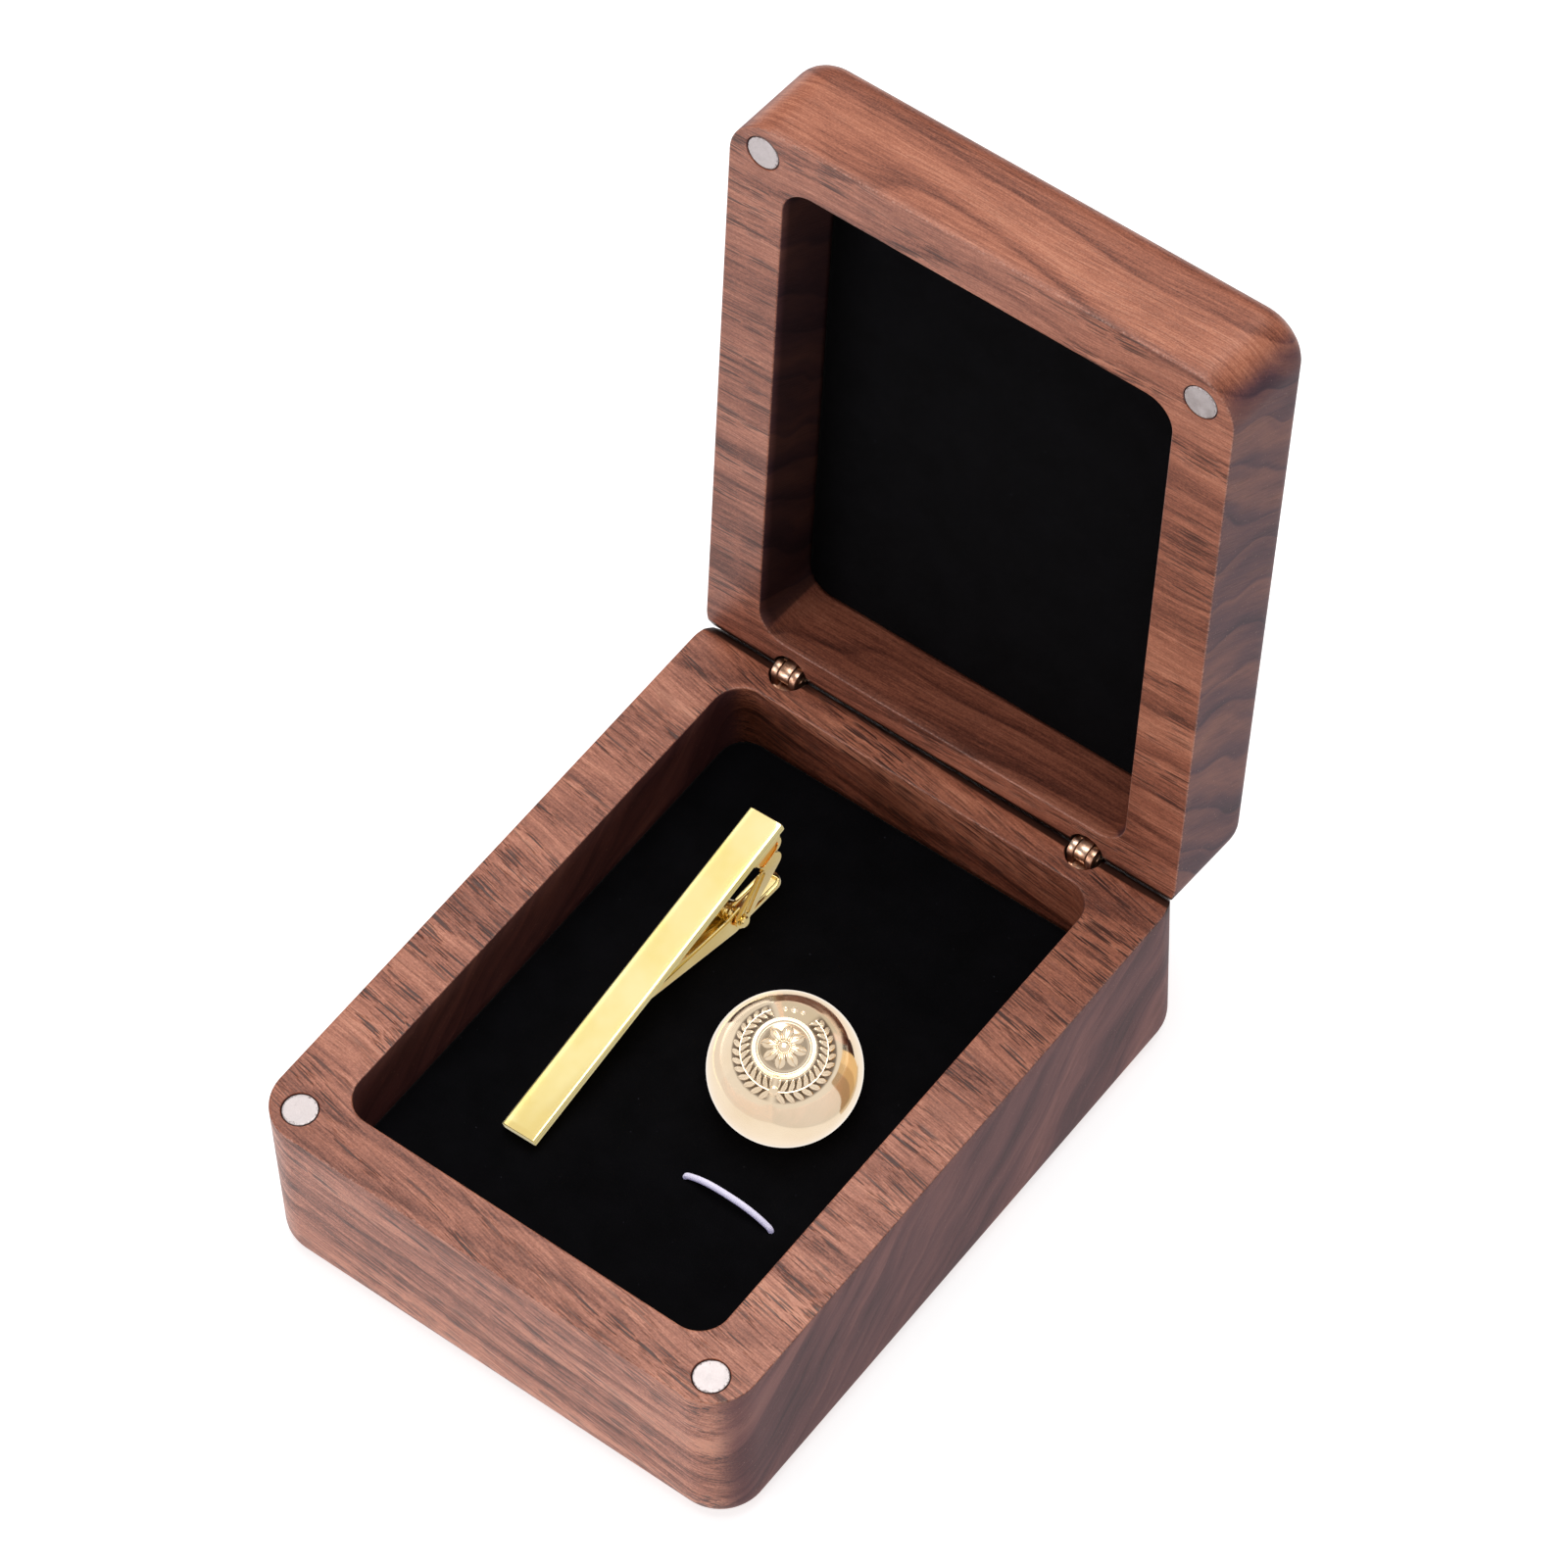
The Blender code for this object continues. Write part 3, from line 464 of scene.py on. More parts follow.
# Streak tone, fibre tone and pore mask of one kind of face
def faceGrain(shop, place, grain, normal, fine):
    bent = facePlace(shop, place, grain, normal)
    bent = wandering(shop, bent, (0.035, 0.09, 0.09), 1.0, (0.0, 3.2, 0.0))
    streaks = shop.noise(bent, (0.045, 1.30 * fine, 0.2), 3.0, 0.70)
    fibres = shop.noise(bent, (0.22 * fine, 4.8 * fine, 0.5), 2.0, 0.6)
    crowd = shop.remap(shop.noise(bent, (0.05, 0.36, 0.1), 2.0), 0.42, 0.60, 0.20, 1.0)
    coarse = dashes(shop, bent, 3.6 / fine, 0.21 / fine, 0.08, 0.56)
    small = dashes(shop, bent, 2.2 / fine, 0.14 / fine, 0.10, 0.55)
    return streaks, fibres, shop.times(shop.maths("MAXIMUM", coarse, shop.times(small, 0.7)), crowd)


# Growth bands and rings: sheets square to the ring normal, bent by noise. A ring darkens slowly, then ends
def growth(shop, place, look):
    bandPlace = facePlace(shop, place, (1.0, -0.16, -0.20), look["ringNormal"])
    bandPlace = wandering(shop, bandPlace, (0.010, 0.040, 0.040), 2.0, (0, 10, 16))
    bands = shop.noise(bandPlace, (0.006, 0.030, 0.170), 3.0, 0.55)
    depth = shop.split(bandPlace)["Z"]
    wander = shop.noise(bandPlace, (0.006, 0.018, 0.060), 2.0)
    phase = shop.maths("MULTIPLY_ADD", depth, 1.0 / look["ringPitch"], shop.times(wander, 2.2))
    tones = tuple((at, (tone,) * 3) for at, tone in look["ringTones"])
    return bands, shop.ramp(shop.maths("FRACT", phase), tones)


# Adds to a tone how far each part is from one half, times the part's share
def addParts(shop, tone, look, parts):
    for share, part in parts.items():
        tone = shop.plus(shop.times(shop.minus(part, 0.5), look[share]), tone)
    return tone


def makeWalnut(name, look, unfold=0.0, shift=(0.0, 0.0, 0.0)):
    shop = Shop(name, look["roughness"])
    place = shop.place(turn=(unfold, 0.0, 0.0), shift=shift)
    facing = shop.node("ShaderNodeMapping", vector_type="VECTOR")
    facing.inputs["Rotation"].default_value = (unfold, 0.0, 0.0)
    shop.join(shop.node("ShaderNodeTexCoord").outputs["Normal"], facing.inputs["Vector"])
    across = shop.split(shop.vector("ABSOLUTE", facing.outputs["Vector"]))
    endShare = shop.remap(across["X"], 0.50, 0.93)
    topShare = shop.remap(shop.minus(across["Z"], across["Y"]), -0.25, 0.25)

    bands, rings = growth(shop, place, look)
    specks = shop.noise(place, (3.0, 4.5, 4.5), 2.0, 0.7)
    top = faceGrain(shop, place, look["topGrain"], (0, 0, 1), 1.0)
    front = faceGrain(shop, place, look["frontGrain"], (0, 1, 0), 1.15)
    end = faceGrain(shop, place, look["endGrain"], (1, 0, 0), 1.5)
    streaks, fibres, pores = (shop.blend(topShare, b, a) for a, b in zip(top, front))
    pores = shop.times(pores, shop.remap(topShare, 0.0, 1.0, *look["porosity"][::-1]))

    middle = look["middleTone"]
    tone = addParts(shop, middle, look, {"bandShare": bands, "ringShare": rings, "streakShare": streaks,
                                         "fibreShare": fibres, "speckShare": specks})
    frontShare = shop.minus(1.0, topShare)
    swing = shop.maths("MULTIPLY_ADD", frontShare, look["frontContrast"] - 1.0, 1.0)
    tone = shop.maths("MULTIPLY_ADD", shop.minus(tone, middle), swing, middle)
    # Painted light: faces across Y get a lift in tone; for the lid the lift is negative, a painted shade
    tone = shop.maths("MULTIPLY_ADD", frontShare, look["paintedFrontLight"], tone)
    face = shop.mix(shop.times(pores, 0.94), shop.ramp(tone, look["tones"]), look["poreColour"])

    endTone = addParts(shop, 0.5, look, {"endBands": bands, "endRings": rings, "endStreaks": end[0],
                                         "endFibres": end[1], "endSpecks": specks})
    # End grain: darker than face grain, as end grain is, and its purple-blue cast is painted cool shade
    endFace = shop.ramp(endTone, look["endGrainAndCoolShadeTones"])
    endFace = shop.mix(shop.times(end[2], 0.22), endFace, look["poreColour"])
    dust = shop.remap(shop.noise(place, (2.4, 3.4, 3.4), 0.0), 0.800, 0.830)
    endFace = shop.mix(shop.times(dust, 0.30), endFace, look["paleDustWearAndHighlight"])

    colour = shop.mix(endShare, face, endFace)
    # A pale line along the rim's edges, part real wear and part painted highlight, broken by noise into chips
    wearAndHighlight = shop.attribute("edgeWearAndHighlight")
    broken = shop.remap(shop.noise(place, (2.8, 2.8, 2.8), 3.0, 0.7), 0.46, 0.64, 0.06, 0.70)
    colour = shop.mix(shop.times(wearAndHighlight, broken), colour, look["paleDustWearAndHighlight"])
    # Painted shade: the tray's walls and the wood in and round the pockets are darkened as if in shade
    colour = shop.mix(shop.attribute("paintedRecessShade"), colour, look["paintedRecessColour"], "MULTIPLY")
    colour = shop.mix(shop.attribute("shaded"), colour, look["shadeColour"])
    satin = shop.remap(tone, 0.2, 0.9, look["roughness"] + 0.06, look["roughness"] - 0.05)
    roughness = shop.blend(endShare, satin, look["endRoughness"])
    openPores = shop.blend(endShare, pores, shop.times(end[2], 0.4))
    shop.bump(shop.minus(shop.times(fibres, 0.30), openPores), 0.00006, 0.7)
    gloss = shop.blend(endShare, look["gloss"], look["endGloss"])
    return shop.set(Base_Color=colour, Roughness=roughness, Specular_IOR_Level=gloss)


baseWalnut = makeWalnut("baseWalnut", walnutLook, shift=(12.0, 3.0, 5.0))
# The lid's board has its own figure, and is a little darker
lidLook = dict(
    walnutLook, ringNormal=(0.05, 0.88, -0.47), ringPitch=7.0, ringShare=0.78, endRings=1.15,
    topGrain=(1.0, -0.03, 0.0), frontGrain=(1.0, 0.0, 0.02), endGrain=(0.0, 0.47, 0.88),
    porosity=(0.85, 0.22), frontContrast=1.0, paintedFrontLight=-0.05,
    tones=tuple((at, (r * 0.93, g * 0.95, b * 0.98)) for at, (r, g, b) in walnutLook["tones"]),
    endGrainAndCoolShadeTones=((0.00, (0.058, 0.026, 0.040)), (0.35, (0.112, 0.046, 0.057)), (0.65, (0.186, 0.074, 0.068)),
              (1.00, (0.285, 0.116, 0.086))),
)
lidWalnut = makeWalnut("lidWalnut", lidLook, unfold=lidAngle, shift=(71.0, 40.0, -30.0))
print("walnut mixed")


# Base and lid: a rounded block hollowed by a round-cornered tray, open at the rim
blockSizes = {
    "width": 80.0 * mm, "lowY": -51.85 * mm, "highY": 51.85 * mm,
    "baseHeight": 30.4 * mm, "lidHeight": 17.3 * mm,
    "sideWall": 9.0 * mm, "frontWall": 8.2 * mm, "rearWall": 8.9 * mm,
    "cornerRadius": 6.9 * mm, "edgeRadius": 3.5 * mm, "cavityRadius": 4.5 * mm,
    "rimEase": 0.22 * mm, "floor": 4.0 * mm, "rimGap": 0.3 * mm, "grooveBevel": 1.1 * mm,
    "magnetInset": (5.4 * mm, 4.5 * mm), "magnetPocket": 2.62 * mm, "magnetDepth": 3.35 * mm,
    "hingeInset": 14.7 * mm, "hingePocket": 2.8 * mm, "hingeDepth": 10.3 * mm,
    "wearAndHighlightReach": 0.17 * mm, "lip": {"magnet": 0.10 * mm, "hinge": 0.12 * mm}, "holeShadeReach": 0.25 * mm,
    "overrun": 2.0 * mm, "stopReach": 8.0 * mm, "grooveShade": 0.85, "leftWallShade": 0.62,
}


# Smooth step from 0 at low to 1 at high
def ease(value, low, high):
    share = np.clip((value - low) / (high - low), 0, 1)
    return share * share * (3 - 2 * share)


# Distance to a round-cornered rectangle: outside its core box by so much, less the corner radius
def outlineDistance(points, halfX, lowY, highY, radius):
    centre = (lowY + highY) / 2
    half = np.array([halfX - radius, (highY - lowY) / 2 - radius])
    past = np.abs(points[:, :2] - (0.0, centre)) - half
    return np.linalg.norm(np.maximum(past, 0), axis=1) + np.minimum(past.max(axis=1), 0) - radius


# The block's skin, from the closed end over the fillet, up the wall, over the rim and down the tray.
# Heights run from closedZ to rimZ, either way up
def hollowBlock(name, sizes, closedZ, rimZ, shiftY, leftWallShade=0.0):
    way = 1 if rimZ > closedZ else -1
    halfX = sizes["width"] / 2
    lowY, highY = sizes["lowY"] + shiftY, sizes["highY"] + shiftY
    trayLow, trayHigh = lowY + sizes["frontWall"], highY - sizes["rearWall"]
    trayHalf = halfX - sizes["sideWall"]
    eased, edge = sizes["rimEase"], sizes["edgeRadius"]

    def outer(inset):
        return roundRectangle(halfX, lowY, highY, sizes["cornerRadius"], inset)

    def inner(inset):
        return roundRectangle(trayHalf, trayLow, trayHigh, sizes["cavityRadius"], inset)

    turn = np.linspace(0, math.pi / 2, 9)
    outlines = [outer(edge * (1 - math.sin(a))) for a in turn]
    heights = [closedZ + way * edge * (1 - math.cos(a)) for a in turn]
    for share in np.linspace(0, 1, 13)[1:]:
        outlines.append(outer(0.0))
        heights.append(closedZ + way * edge + (rimZ - way * eased - closedZ - way * edge) * share)
    bend = np.linspace(0, math.pi / 2, 5)[1:]
    outlines += [outer(eased * (1 - math.cos(a))) for a in bend]
    heights += [rimZ - way * eased * (1 - math.sin(a)) for a in bend]
    fromEdge, toEdge = outer(eased), inner(-eased)
    for share in (0.015, 0.04, 0.08, 0.16, 0.3, 0.5, 0.7, 0.84, 0.92, 0.96, 0.985, 1.0):
        outlines.append(fromEdge + (toEdge - fromEdge) * share)
        heights.append(rimZ)
    outlines += [inner(-eased * (1 - math.sin(a))) for a in bend]
    heights += [rimZ - way * eased * (1 - math.cos(a)) for a in bend]
    bed = closedZ + way * sizes["floor"]
    for share in np.linspace(0, 1, 9)[1:]:
        outlines.append(inner(0.0))
        heights.append(rimZ - way * eased + (bed - rimZ + way * eased) * share)
    points, faces = stackOutlines(outlines, heights)
    block = makePiece(name, points, faces)

    guides, pockets = [], []
    magnet = (halfX - sizes["magnetInset"][0], lowY + sizes["magnetInset"][1])
    hinge = (halfX - sizes["hingeInset"], hingeLine.y + shiftY)
    past = sizes["overrun"]
    for sign in (-1, 1):
        for label, (x, y) in (("magnet", magnet), ("hinge", hinge)):
            radius, depth = sizes[label + "Pocket"], sizes[label + "Depth"]
            lip = sizes["lip"][label]
            pockets.append((x, y, radius))
            wide = radius + lip
            profile = [(0, -depth), (radius, -depth), (radius, -lip), (wide, 0), (wide, past), (0, past)]
            profile = [(r, rimZ + way * z) for r, z in profile]
            guides.append(turnedSolid(f"cut{label}{sign}", profile, Matrix.Translation((sign * x, y, 0)), 72))
    guides.append(stopWedge(sizes, way, shiftY))
    carve(block, guides, smoothAngle=28.0)
    markWood(block, sizes, (halfX, lowY, highY), (trayHalf, trayLow, trayHigh), rimZ, pockets, leftWallShade)
    return block


# What the walnut reads from the block: a pale line, part wear and part painted highlight, falls off as a bell
# from the rim's two edges; painted shade starts below the rim in the tray and in and round the pockets, and
# lies in the groove and on the lid's left tray wall
def markWood(block, sizes, outer, tray, rimZ, pockets, leftWallShade):
    p = vertexArray(block.data)
    touch = 0.02 * mm
    depth = np.abs(p[:, 2] - rimZ)
    fromOuter = np.hypot(outlineDistance(p, *outer, sizes["cornerRadius"]), depth)
    fromTray = outlineDistance(p, *tray, sizes["cavityRadius"])
    # Pale edge line, part wear and part painted highlight, falling off as a bell from the rim's two edges
    wearAndHighlight = np.exp(-(np.minimum(fromOuter, np.hypot(fromTray, depth) * 1.25) / sizes["wearAndHighlightReach"]) ** 2)
    inTray = fromTray < touch
    # Painted shade below the rim in the tray, and stronger in and round the pockets' mouths
    paintedRecessShade = np.where(inTray, ease(depth, sizes["rimEase"], 3 * sizes["rimEase"]), 0.0)
    for x, y, radius in pockets:
        nearHole = np.hypot(np.abs(p[:, 0]) - x, p[:, 1] - y) < radius + sizes["holeShadeReach"]
        paintedRecessShade = np.where(nearHole, np.maximum(paintedRecessShade, 1.6 * ease(depth, -0.05 * mm, 0.2 * mm)), paintedRecessShade)
    groove, hingeY = sizes["grooveBevel"], pockets[1][1]
    sunk = (depth > 3 * touch) & (p[:, 1] > hingeY - 1.5 * groove)
    fromLine = np.hypot(p[:, 1] - hingeY, depth)
    shaded = sizes["grooveShade"] * sunk * (1 - ease(fromLine, 1.6 * groove, 2.4 * groove))
    onLeft = inTray & (p[:, 0] < -tray[0] + sizes["cavityRadius"] * 0.3)
    shaded = np.maximum(shaded, leftWallShade * onLeft * ease(depth, touch, 0.8 * mm))
    for label, values in (("edgeWearAndHighlight", wearAndHighlight), ("paintedRecessShade", paintedRecessShade), ("shaded", shaded)):
        keepValues(block, label, values)


# The bevel behind the hinge line on which base and lid meet when open; base under the line, lid over it
def stopWedge(sizes, way, shiftY):
    slope = lidAngle / 2
    reach, bevel, past = sizes["stopReach"], sizes["grooveBevel"], sizes["overrun"]
    dropY = -math.sin(slope) * sizes["rimGap"] / 2
    dropZ = -way * math.cos(slope) * sizes["rimGap"] / 2
    outline = [(dropY + run * math.cos(slope), dropZ - way * run * math.sin(slope)) for run in (bevel, reach)]
    outline += [(reach, way * past), (-bevel, way * past), (-bevel, dropZ)]
    centre = (0.0, hingeLine.y + shiftY, hingeLine.z if shiftY == 0 else 0.0)
    return crossPlate("cutStop", outline, -0.1, 0.1, Matrix.Translation(centre))


baseBlock = hollowBlock("walnutBase", blockSizes, 0.0, blockSizes["baseHeight"], 0.0)
dress(baseBlock, "base", baseWalnut, "walnut", ["base_box"])
lidStart = blockSizes["rimGap"] / 2
lidBlock = hollowBlock("walnutLid", blockSizes, lidStart + blockSizes["lidHeight"], lidStart, -hingeLine.y,
                       blockSizes["leftWallShade"])
lidBlock.data.transform(lidFrame)
dress(lidBlock, "lid", lidWalnut, "walnut", ["lid_box"])
print("walnut blocks shaped:", len(baseBlock.data.polygons), "and", len(lidBlock.data.polygons), "faces")


# Magnets: nickel discs with a softly rounded edge, their plating chipped along it
magnetSizes = {
    "radius": 2.5 * mm, "thickness": 3.0 * mm, "edge": 0.16 * mm, "sink": 0.05 * mm, "chipStart": 1.75 * mm,
}


def makeNickel():
    shop = Shop("magnetNickel", 0.5, 0.9)
    place = shop.place()
    cloud = shop.noise(place, (0.55, 0.55, 0.55), 4.0, 0.65)
    grit = shop.noise(place, (5.0, 5.0, 5.0), 3.0, 0.7)
    rim = shop.attribute("rim")
    bite = shop.noise(place, (2.6, 2.6, 2.6), 3.0, 0.65)
    chips = shop.remap(shop.maths("MULTIPLY_ADD", rim, 0.17, bite), 0.69, 0.76)
    tone = shop.plus(shop.times(cloud, 0.7), shop.times(grit, 0.3))
    tones = ((0.30, (0.40, 0.36, 0.36)), (0.50, (0.50, 0.455, 0.455)), (0.72, (0.60, 0.56, 0.56)))
    colour = shop.ramp(tone, tones)
    colour = shop.mix(shop.times(chips, 0.7), colour, (0.20, 0.16, 0.15))
    shop.bump(shop.minus(shop.times(grit, 0.4), chips), 0.00004, 0.6)
    return shop.set(Base_Color=colour, Roughness=shop.remap(cloud, 0.3, 0.7, 0.42, 0.54))


# Profile of a disc whose two edges are quarter rounds
def roundedDisc(radius, low, high, edge):
    bend = np.linspace(0, math.pi / 2, 5)
    upper = [(radius - edge * (1 - math.cos(a)), high - edge * (1 - math.sin(a))) for a in bend]
    lower = [(r, low + high - z) for r, z in upper[::-1]]
    rings = [radius * share for share in (0.5, 0.74, 0.86)]
    middle = [(r, low) for r in rings] + lower + upper + [(r, high) for r in rings[::-1]]
    return [(0.0, low)] + middle + [(0.0, high)]


# A disc with its nearness to the rim kept as an attribute, where the plating is chipped
def addMagnet(name, sizes, low, place):
    profile = roundedDisc(sizes["radius"], low, low + sizes["thickness"], sizes["edge"])
    disc = turnedSolid(name, profile, steps=96)
    p = vertexArray(disc.data)
    keepValues(disc, "rim", ease(np.hypot(p[:, 0], p[:, 1]), sizes["chipStart"], sizes["radius"]))
    disc.data.transform(place)
    return disc


def addMagnets(sizes, block, material):
    x = block["width"] / 2 - block["magnetInset"][0]
    y = block["lowY"] + block["magnetInset"][1]
    top = block["baseHeight"] - sizes["sink"]
    start = block["rimGap"] / 2 + sizes["sink"]
    for side, sign in (("left", -1), ("right", 1)):
        place = Matrix.Translation((sign * x, y, 0))
        disc = addMagnet(f"magnetBase{side.title()}", sizes, top - sizes["thickness"], place)
        dress(disc, "base", material, "magnet_nickel", [f"magnet_base_{side}"])
        place = lidFrame @ Matrix.Translation((sign * x, y - hingeLine.y, 0))
        disc = addMagnet(f"magnetLid{side.title()}", sizes, start, place)
        dress(disc, "lid", material, "magnet_nickel", [f"magnet_lid_{side}"])


addMagnets(magnetSizes, blockSizes, makeNickel())
print("magnets set")


# Barrel hinges: ribbed brass barrels in their bores, two ears below and one tongue above on a pin
hingeSizes = {
    "radius": 2.5 * mm, "length": 10.0 * mm, "shoulder": 2.1 * mm, "eye": 1.5 * mm, "earReach": 2.0 * mm,
    "tongue": 0.85 * mm, "gap": 0.22 * mm, "stopGap": 0.3 * mm, "facets": 6,
    "pin": 0.6 * mm, "pinEdge": 0.15 * mm, "ribDepth": 0.12 * mm, "ribs": 9,
    "ribStart": 1.0 * mm, "ribEnd": 0.9 * mm, "ribSteps": 60, "rounding": 0.10 * mm,
    "rootOverlap": 0.6 * mm, "mouthEdge": 0.2 * mm, "footEdge": (0.4 * mm, 0.5 * mm),
}


def makeBrass():
    shop = Shop("hingeBrass", 0.34, 1.0)
    place = shop.place()
    cloud = shop.noise(place, (0.9, 0.9, 0.9), 4.0, 0.6)
    brushed = shop.noise(place, (2.0, 9.0, 9.0), 2.0)
    colour = shop.ramp(cloud, ((0.34, (0.40, 0.20, 0.12)), (0.50, (0.80, 0.49, 0.33)),
                               (0.66, (0.98, 0.76, 0.60))))
    shop.bump(brushed, 0.00002, 0.5)
    return shop.set(Base_Color=colour, Roughness=shop.remap(cloud, 0.3, 0.7, 0.46, 0.30))


# Ear or tongue from the side: a half round of flat facets about the hinge line on a straight root
def knuckleOutline(sizes, way):
    angle = -way * np.linspace(0, math.pi, sizes["facets"] + 1)
    arc = sizes["eye"] * np.column_stack([np.cos(angle), np.sin(angle)])
    root = way * (sizes["shoulder"] + sizes["rootOverlap"])
    return np.concatenate([[(sizes["eye"], root)], arc, [(-sizes["eye"], root)]])


# A barrel from its mouth to its foot, with ribs between that follow a cosine
def barrelProfile(sizes, way, far):
    near, radius, steps = way * sizes["shoulder"], sizes["radius"], sizes["ribSteps"]
    heights = np.linspace(near + way * sizes["ribStart"], far - way * sizes["ribEnd"], steps)
    wave = sizes["ribDepth"] * (0.5 + 0.5 * np.cos(np.linspace(0, 2 * sizes["ribs"] * math.pi, steps)))
    mouth, (footIn, footUp) = sizes["mouthEdge"], sizes["footEdge"]
    profile = [(0, near), (radius - mouth, near), (radius, near + way * mouth)]
    profile += list(zip(radius - wave, heights))
    return profile + [(radius, far - way * footUp), (radius - footIn, far), (0, far)]


# The room that lets the other half's shoulder swing down to the stop: a wedge along half the lid's angle
def shoulderWedge(sizes, way, at):
    lean = math.tan(lidAngle / 2)
    startY = sizes["eye"] + sizes["stopGap"] / 2
    startZ = way * (startY * lean + sizes["stopGap"])
    reach = 2 * sizes["radius"]
    outline = [(startY, startZ), (startY + reach, startZ + way * reach * lean),
               (startY + reach, -way * 2 * mm), (startY, -way * 2 * mm)]
    return crossPlate("cutShoulder", outline, -4 * mm, 4 * mm, at)


def addHinges(sizes, block, material):
    x = block["width"] / 2 - block["hingeInset"]
    slot = sizes["tongue"] + sizes["gap"]
    tongues = [(-sizes["tongue"], sizes["tongue"])]
    ears = [(-sizes["earReach"], -slot), (slot, sizes["earReach"])]
    for side, sign in (("left", -1), ("right", 1)):
        for label, way, place, spans in (("Base", -1, baseFrame, ears), ("Lid", 1, lidFrame, tongues)):
            at = place @ Matrix.Translation((sign * x, 0, 0))
            profile = barrelProfile(sizes, way, way * (sizes["length"] + block["rimGap"] / 2))
            barrel = turnedSolid(f"hinge{side.title()}{label}", profile, at, 48)
            outline = knuckleOutline(sizes, way)
            knuckles = [crossPlate(f"ear{index}", outline, *span, at) for index, span in enumerate(spans)]
            carve(barrel, knuckles, "UNION")
            rooms = [pinCutter(sizes["pin"], at), shoulderWedge(sizes, way, at)]
            carve(barrel, rooms, rounding=sizes["rounding"])
            body = label.lower()
            dress(barrel, body, material, "hinge_brass", [f"hinge_{side}_{body}_barrel"])
        reach = sizes["earReach"] - sizes["gap"] / 2
        profile = roundedDisc(sizes["pin"], -reach, reach, sizes["pinEdge"])
        place = baseFrame @ Matrix.Translation((sign * x, 0, 0))
        pin = turnedSolid(f"hingePin{side.title()}", profile, place, 40, axis="X")
        dress(pin, "base", material, "hinge_brass", [f"hinge_{side}_pin"])


addHinges(hingeSizes, blockSizes, makeBrass())
print("hinges fitted")


# Velvet pads: a crowned cover rolled over its edges, drawn in where the elastic goes down
padSizes = {
    "halfX": 30.7 * mm, "radius": 4.2 * mm, "roll": 0.9 * mm, "thickness": 0.7 * mm,
    "trayLow": -43.35 * mm, "trayHigh": 42.65 * mm, "baseFace": 18.9 * mm, "baseHem": 5.8 * mm,
    "lidFace": 10.55 * mm, "lidHem": 13.2 * mm, "crown": 0.35 * mm, "sink": 0.03 * mm, "ripple": 0.02 * mm,
    "rows": 150, "columns": 110, "rollSteps": 7, "hemSteps": 9,
    "clothRows": 73, "clothColumns": 53, "clothScale": 20.0, "clothFrames": 20,
    "loopCentre": (15.4 * mm, -19.5 * mm), "loopSpan": 14.4 * mm,
    "dimple": 0.55 * mm, "dimpleReach": 1.3 * mm,
}


def makeVelvet():
    shop = Shop("blackVelvet", 0.95)
    place = shop.place()
    nap = shop.noise(place, (0.16, 0.16, 0.16), 3.0, 0.6)
    pile = shop.noise(place, (11.0, 11.0, 11.0), 2.0, 0.7)
    tone = shop.plus(shop.times(nap, 0.6), shop.times(pile, 0.4))
    colour = shop.ramp(tone, ((0.30, (0.0014, 0.0014, 0.0018)), (0.70, (0.0036, 0.0035, 0.0046))))
    lint = shop.remap(shop.noise(place, (1.7, 1.7, 1.7), 1.0), 0.800, 0.830)
    colour = shop.mix(shop.times(lint, 0.22), colour, (0.10, 0.10, 0.13))
    shop.bump(pile, 0.00012, 0.8)
    return shop.set(Base_Color=colour, Sheen_Weight=0.03, Sheen_Roughness=0.35, Specular_IOR_Level=0.05)


# Top of the pad as rows across Y and columns across X: each row is as wide as the round-cornered
# outline there, and both ways the points close up towards the edges as a sine does
def padGrid(sizes, lowY, highY, rows, columns):
    roll = sizes["roll"]
    centre, halfY = (lowY + highY) / 2, (highY - lowY) / 2
    v = np.sin(np.linspace(-1, 1, rows) * math.pi / 2)
    u = np.sin(np.linspace(-1, 1, columns) * math.pi / 2)
    y = v * (halfY - roll)
    core = halfY - sizes["radius"]
    bow = np.sqrt(np.maximum(0, (sizes["radius"] - roll) ** 2 - np.maximum(0, np.abs(y) - core) ** 2))
    halfRow = sizes["halfX"] - sizes["radius"] + bow
    x = u[None, :] * halfRow[:, None]
    return x, np.broadcast_to(y[:, None] + centre, x.shape)


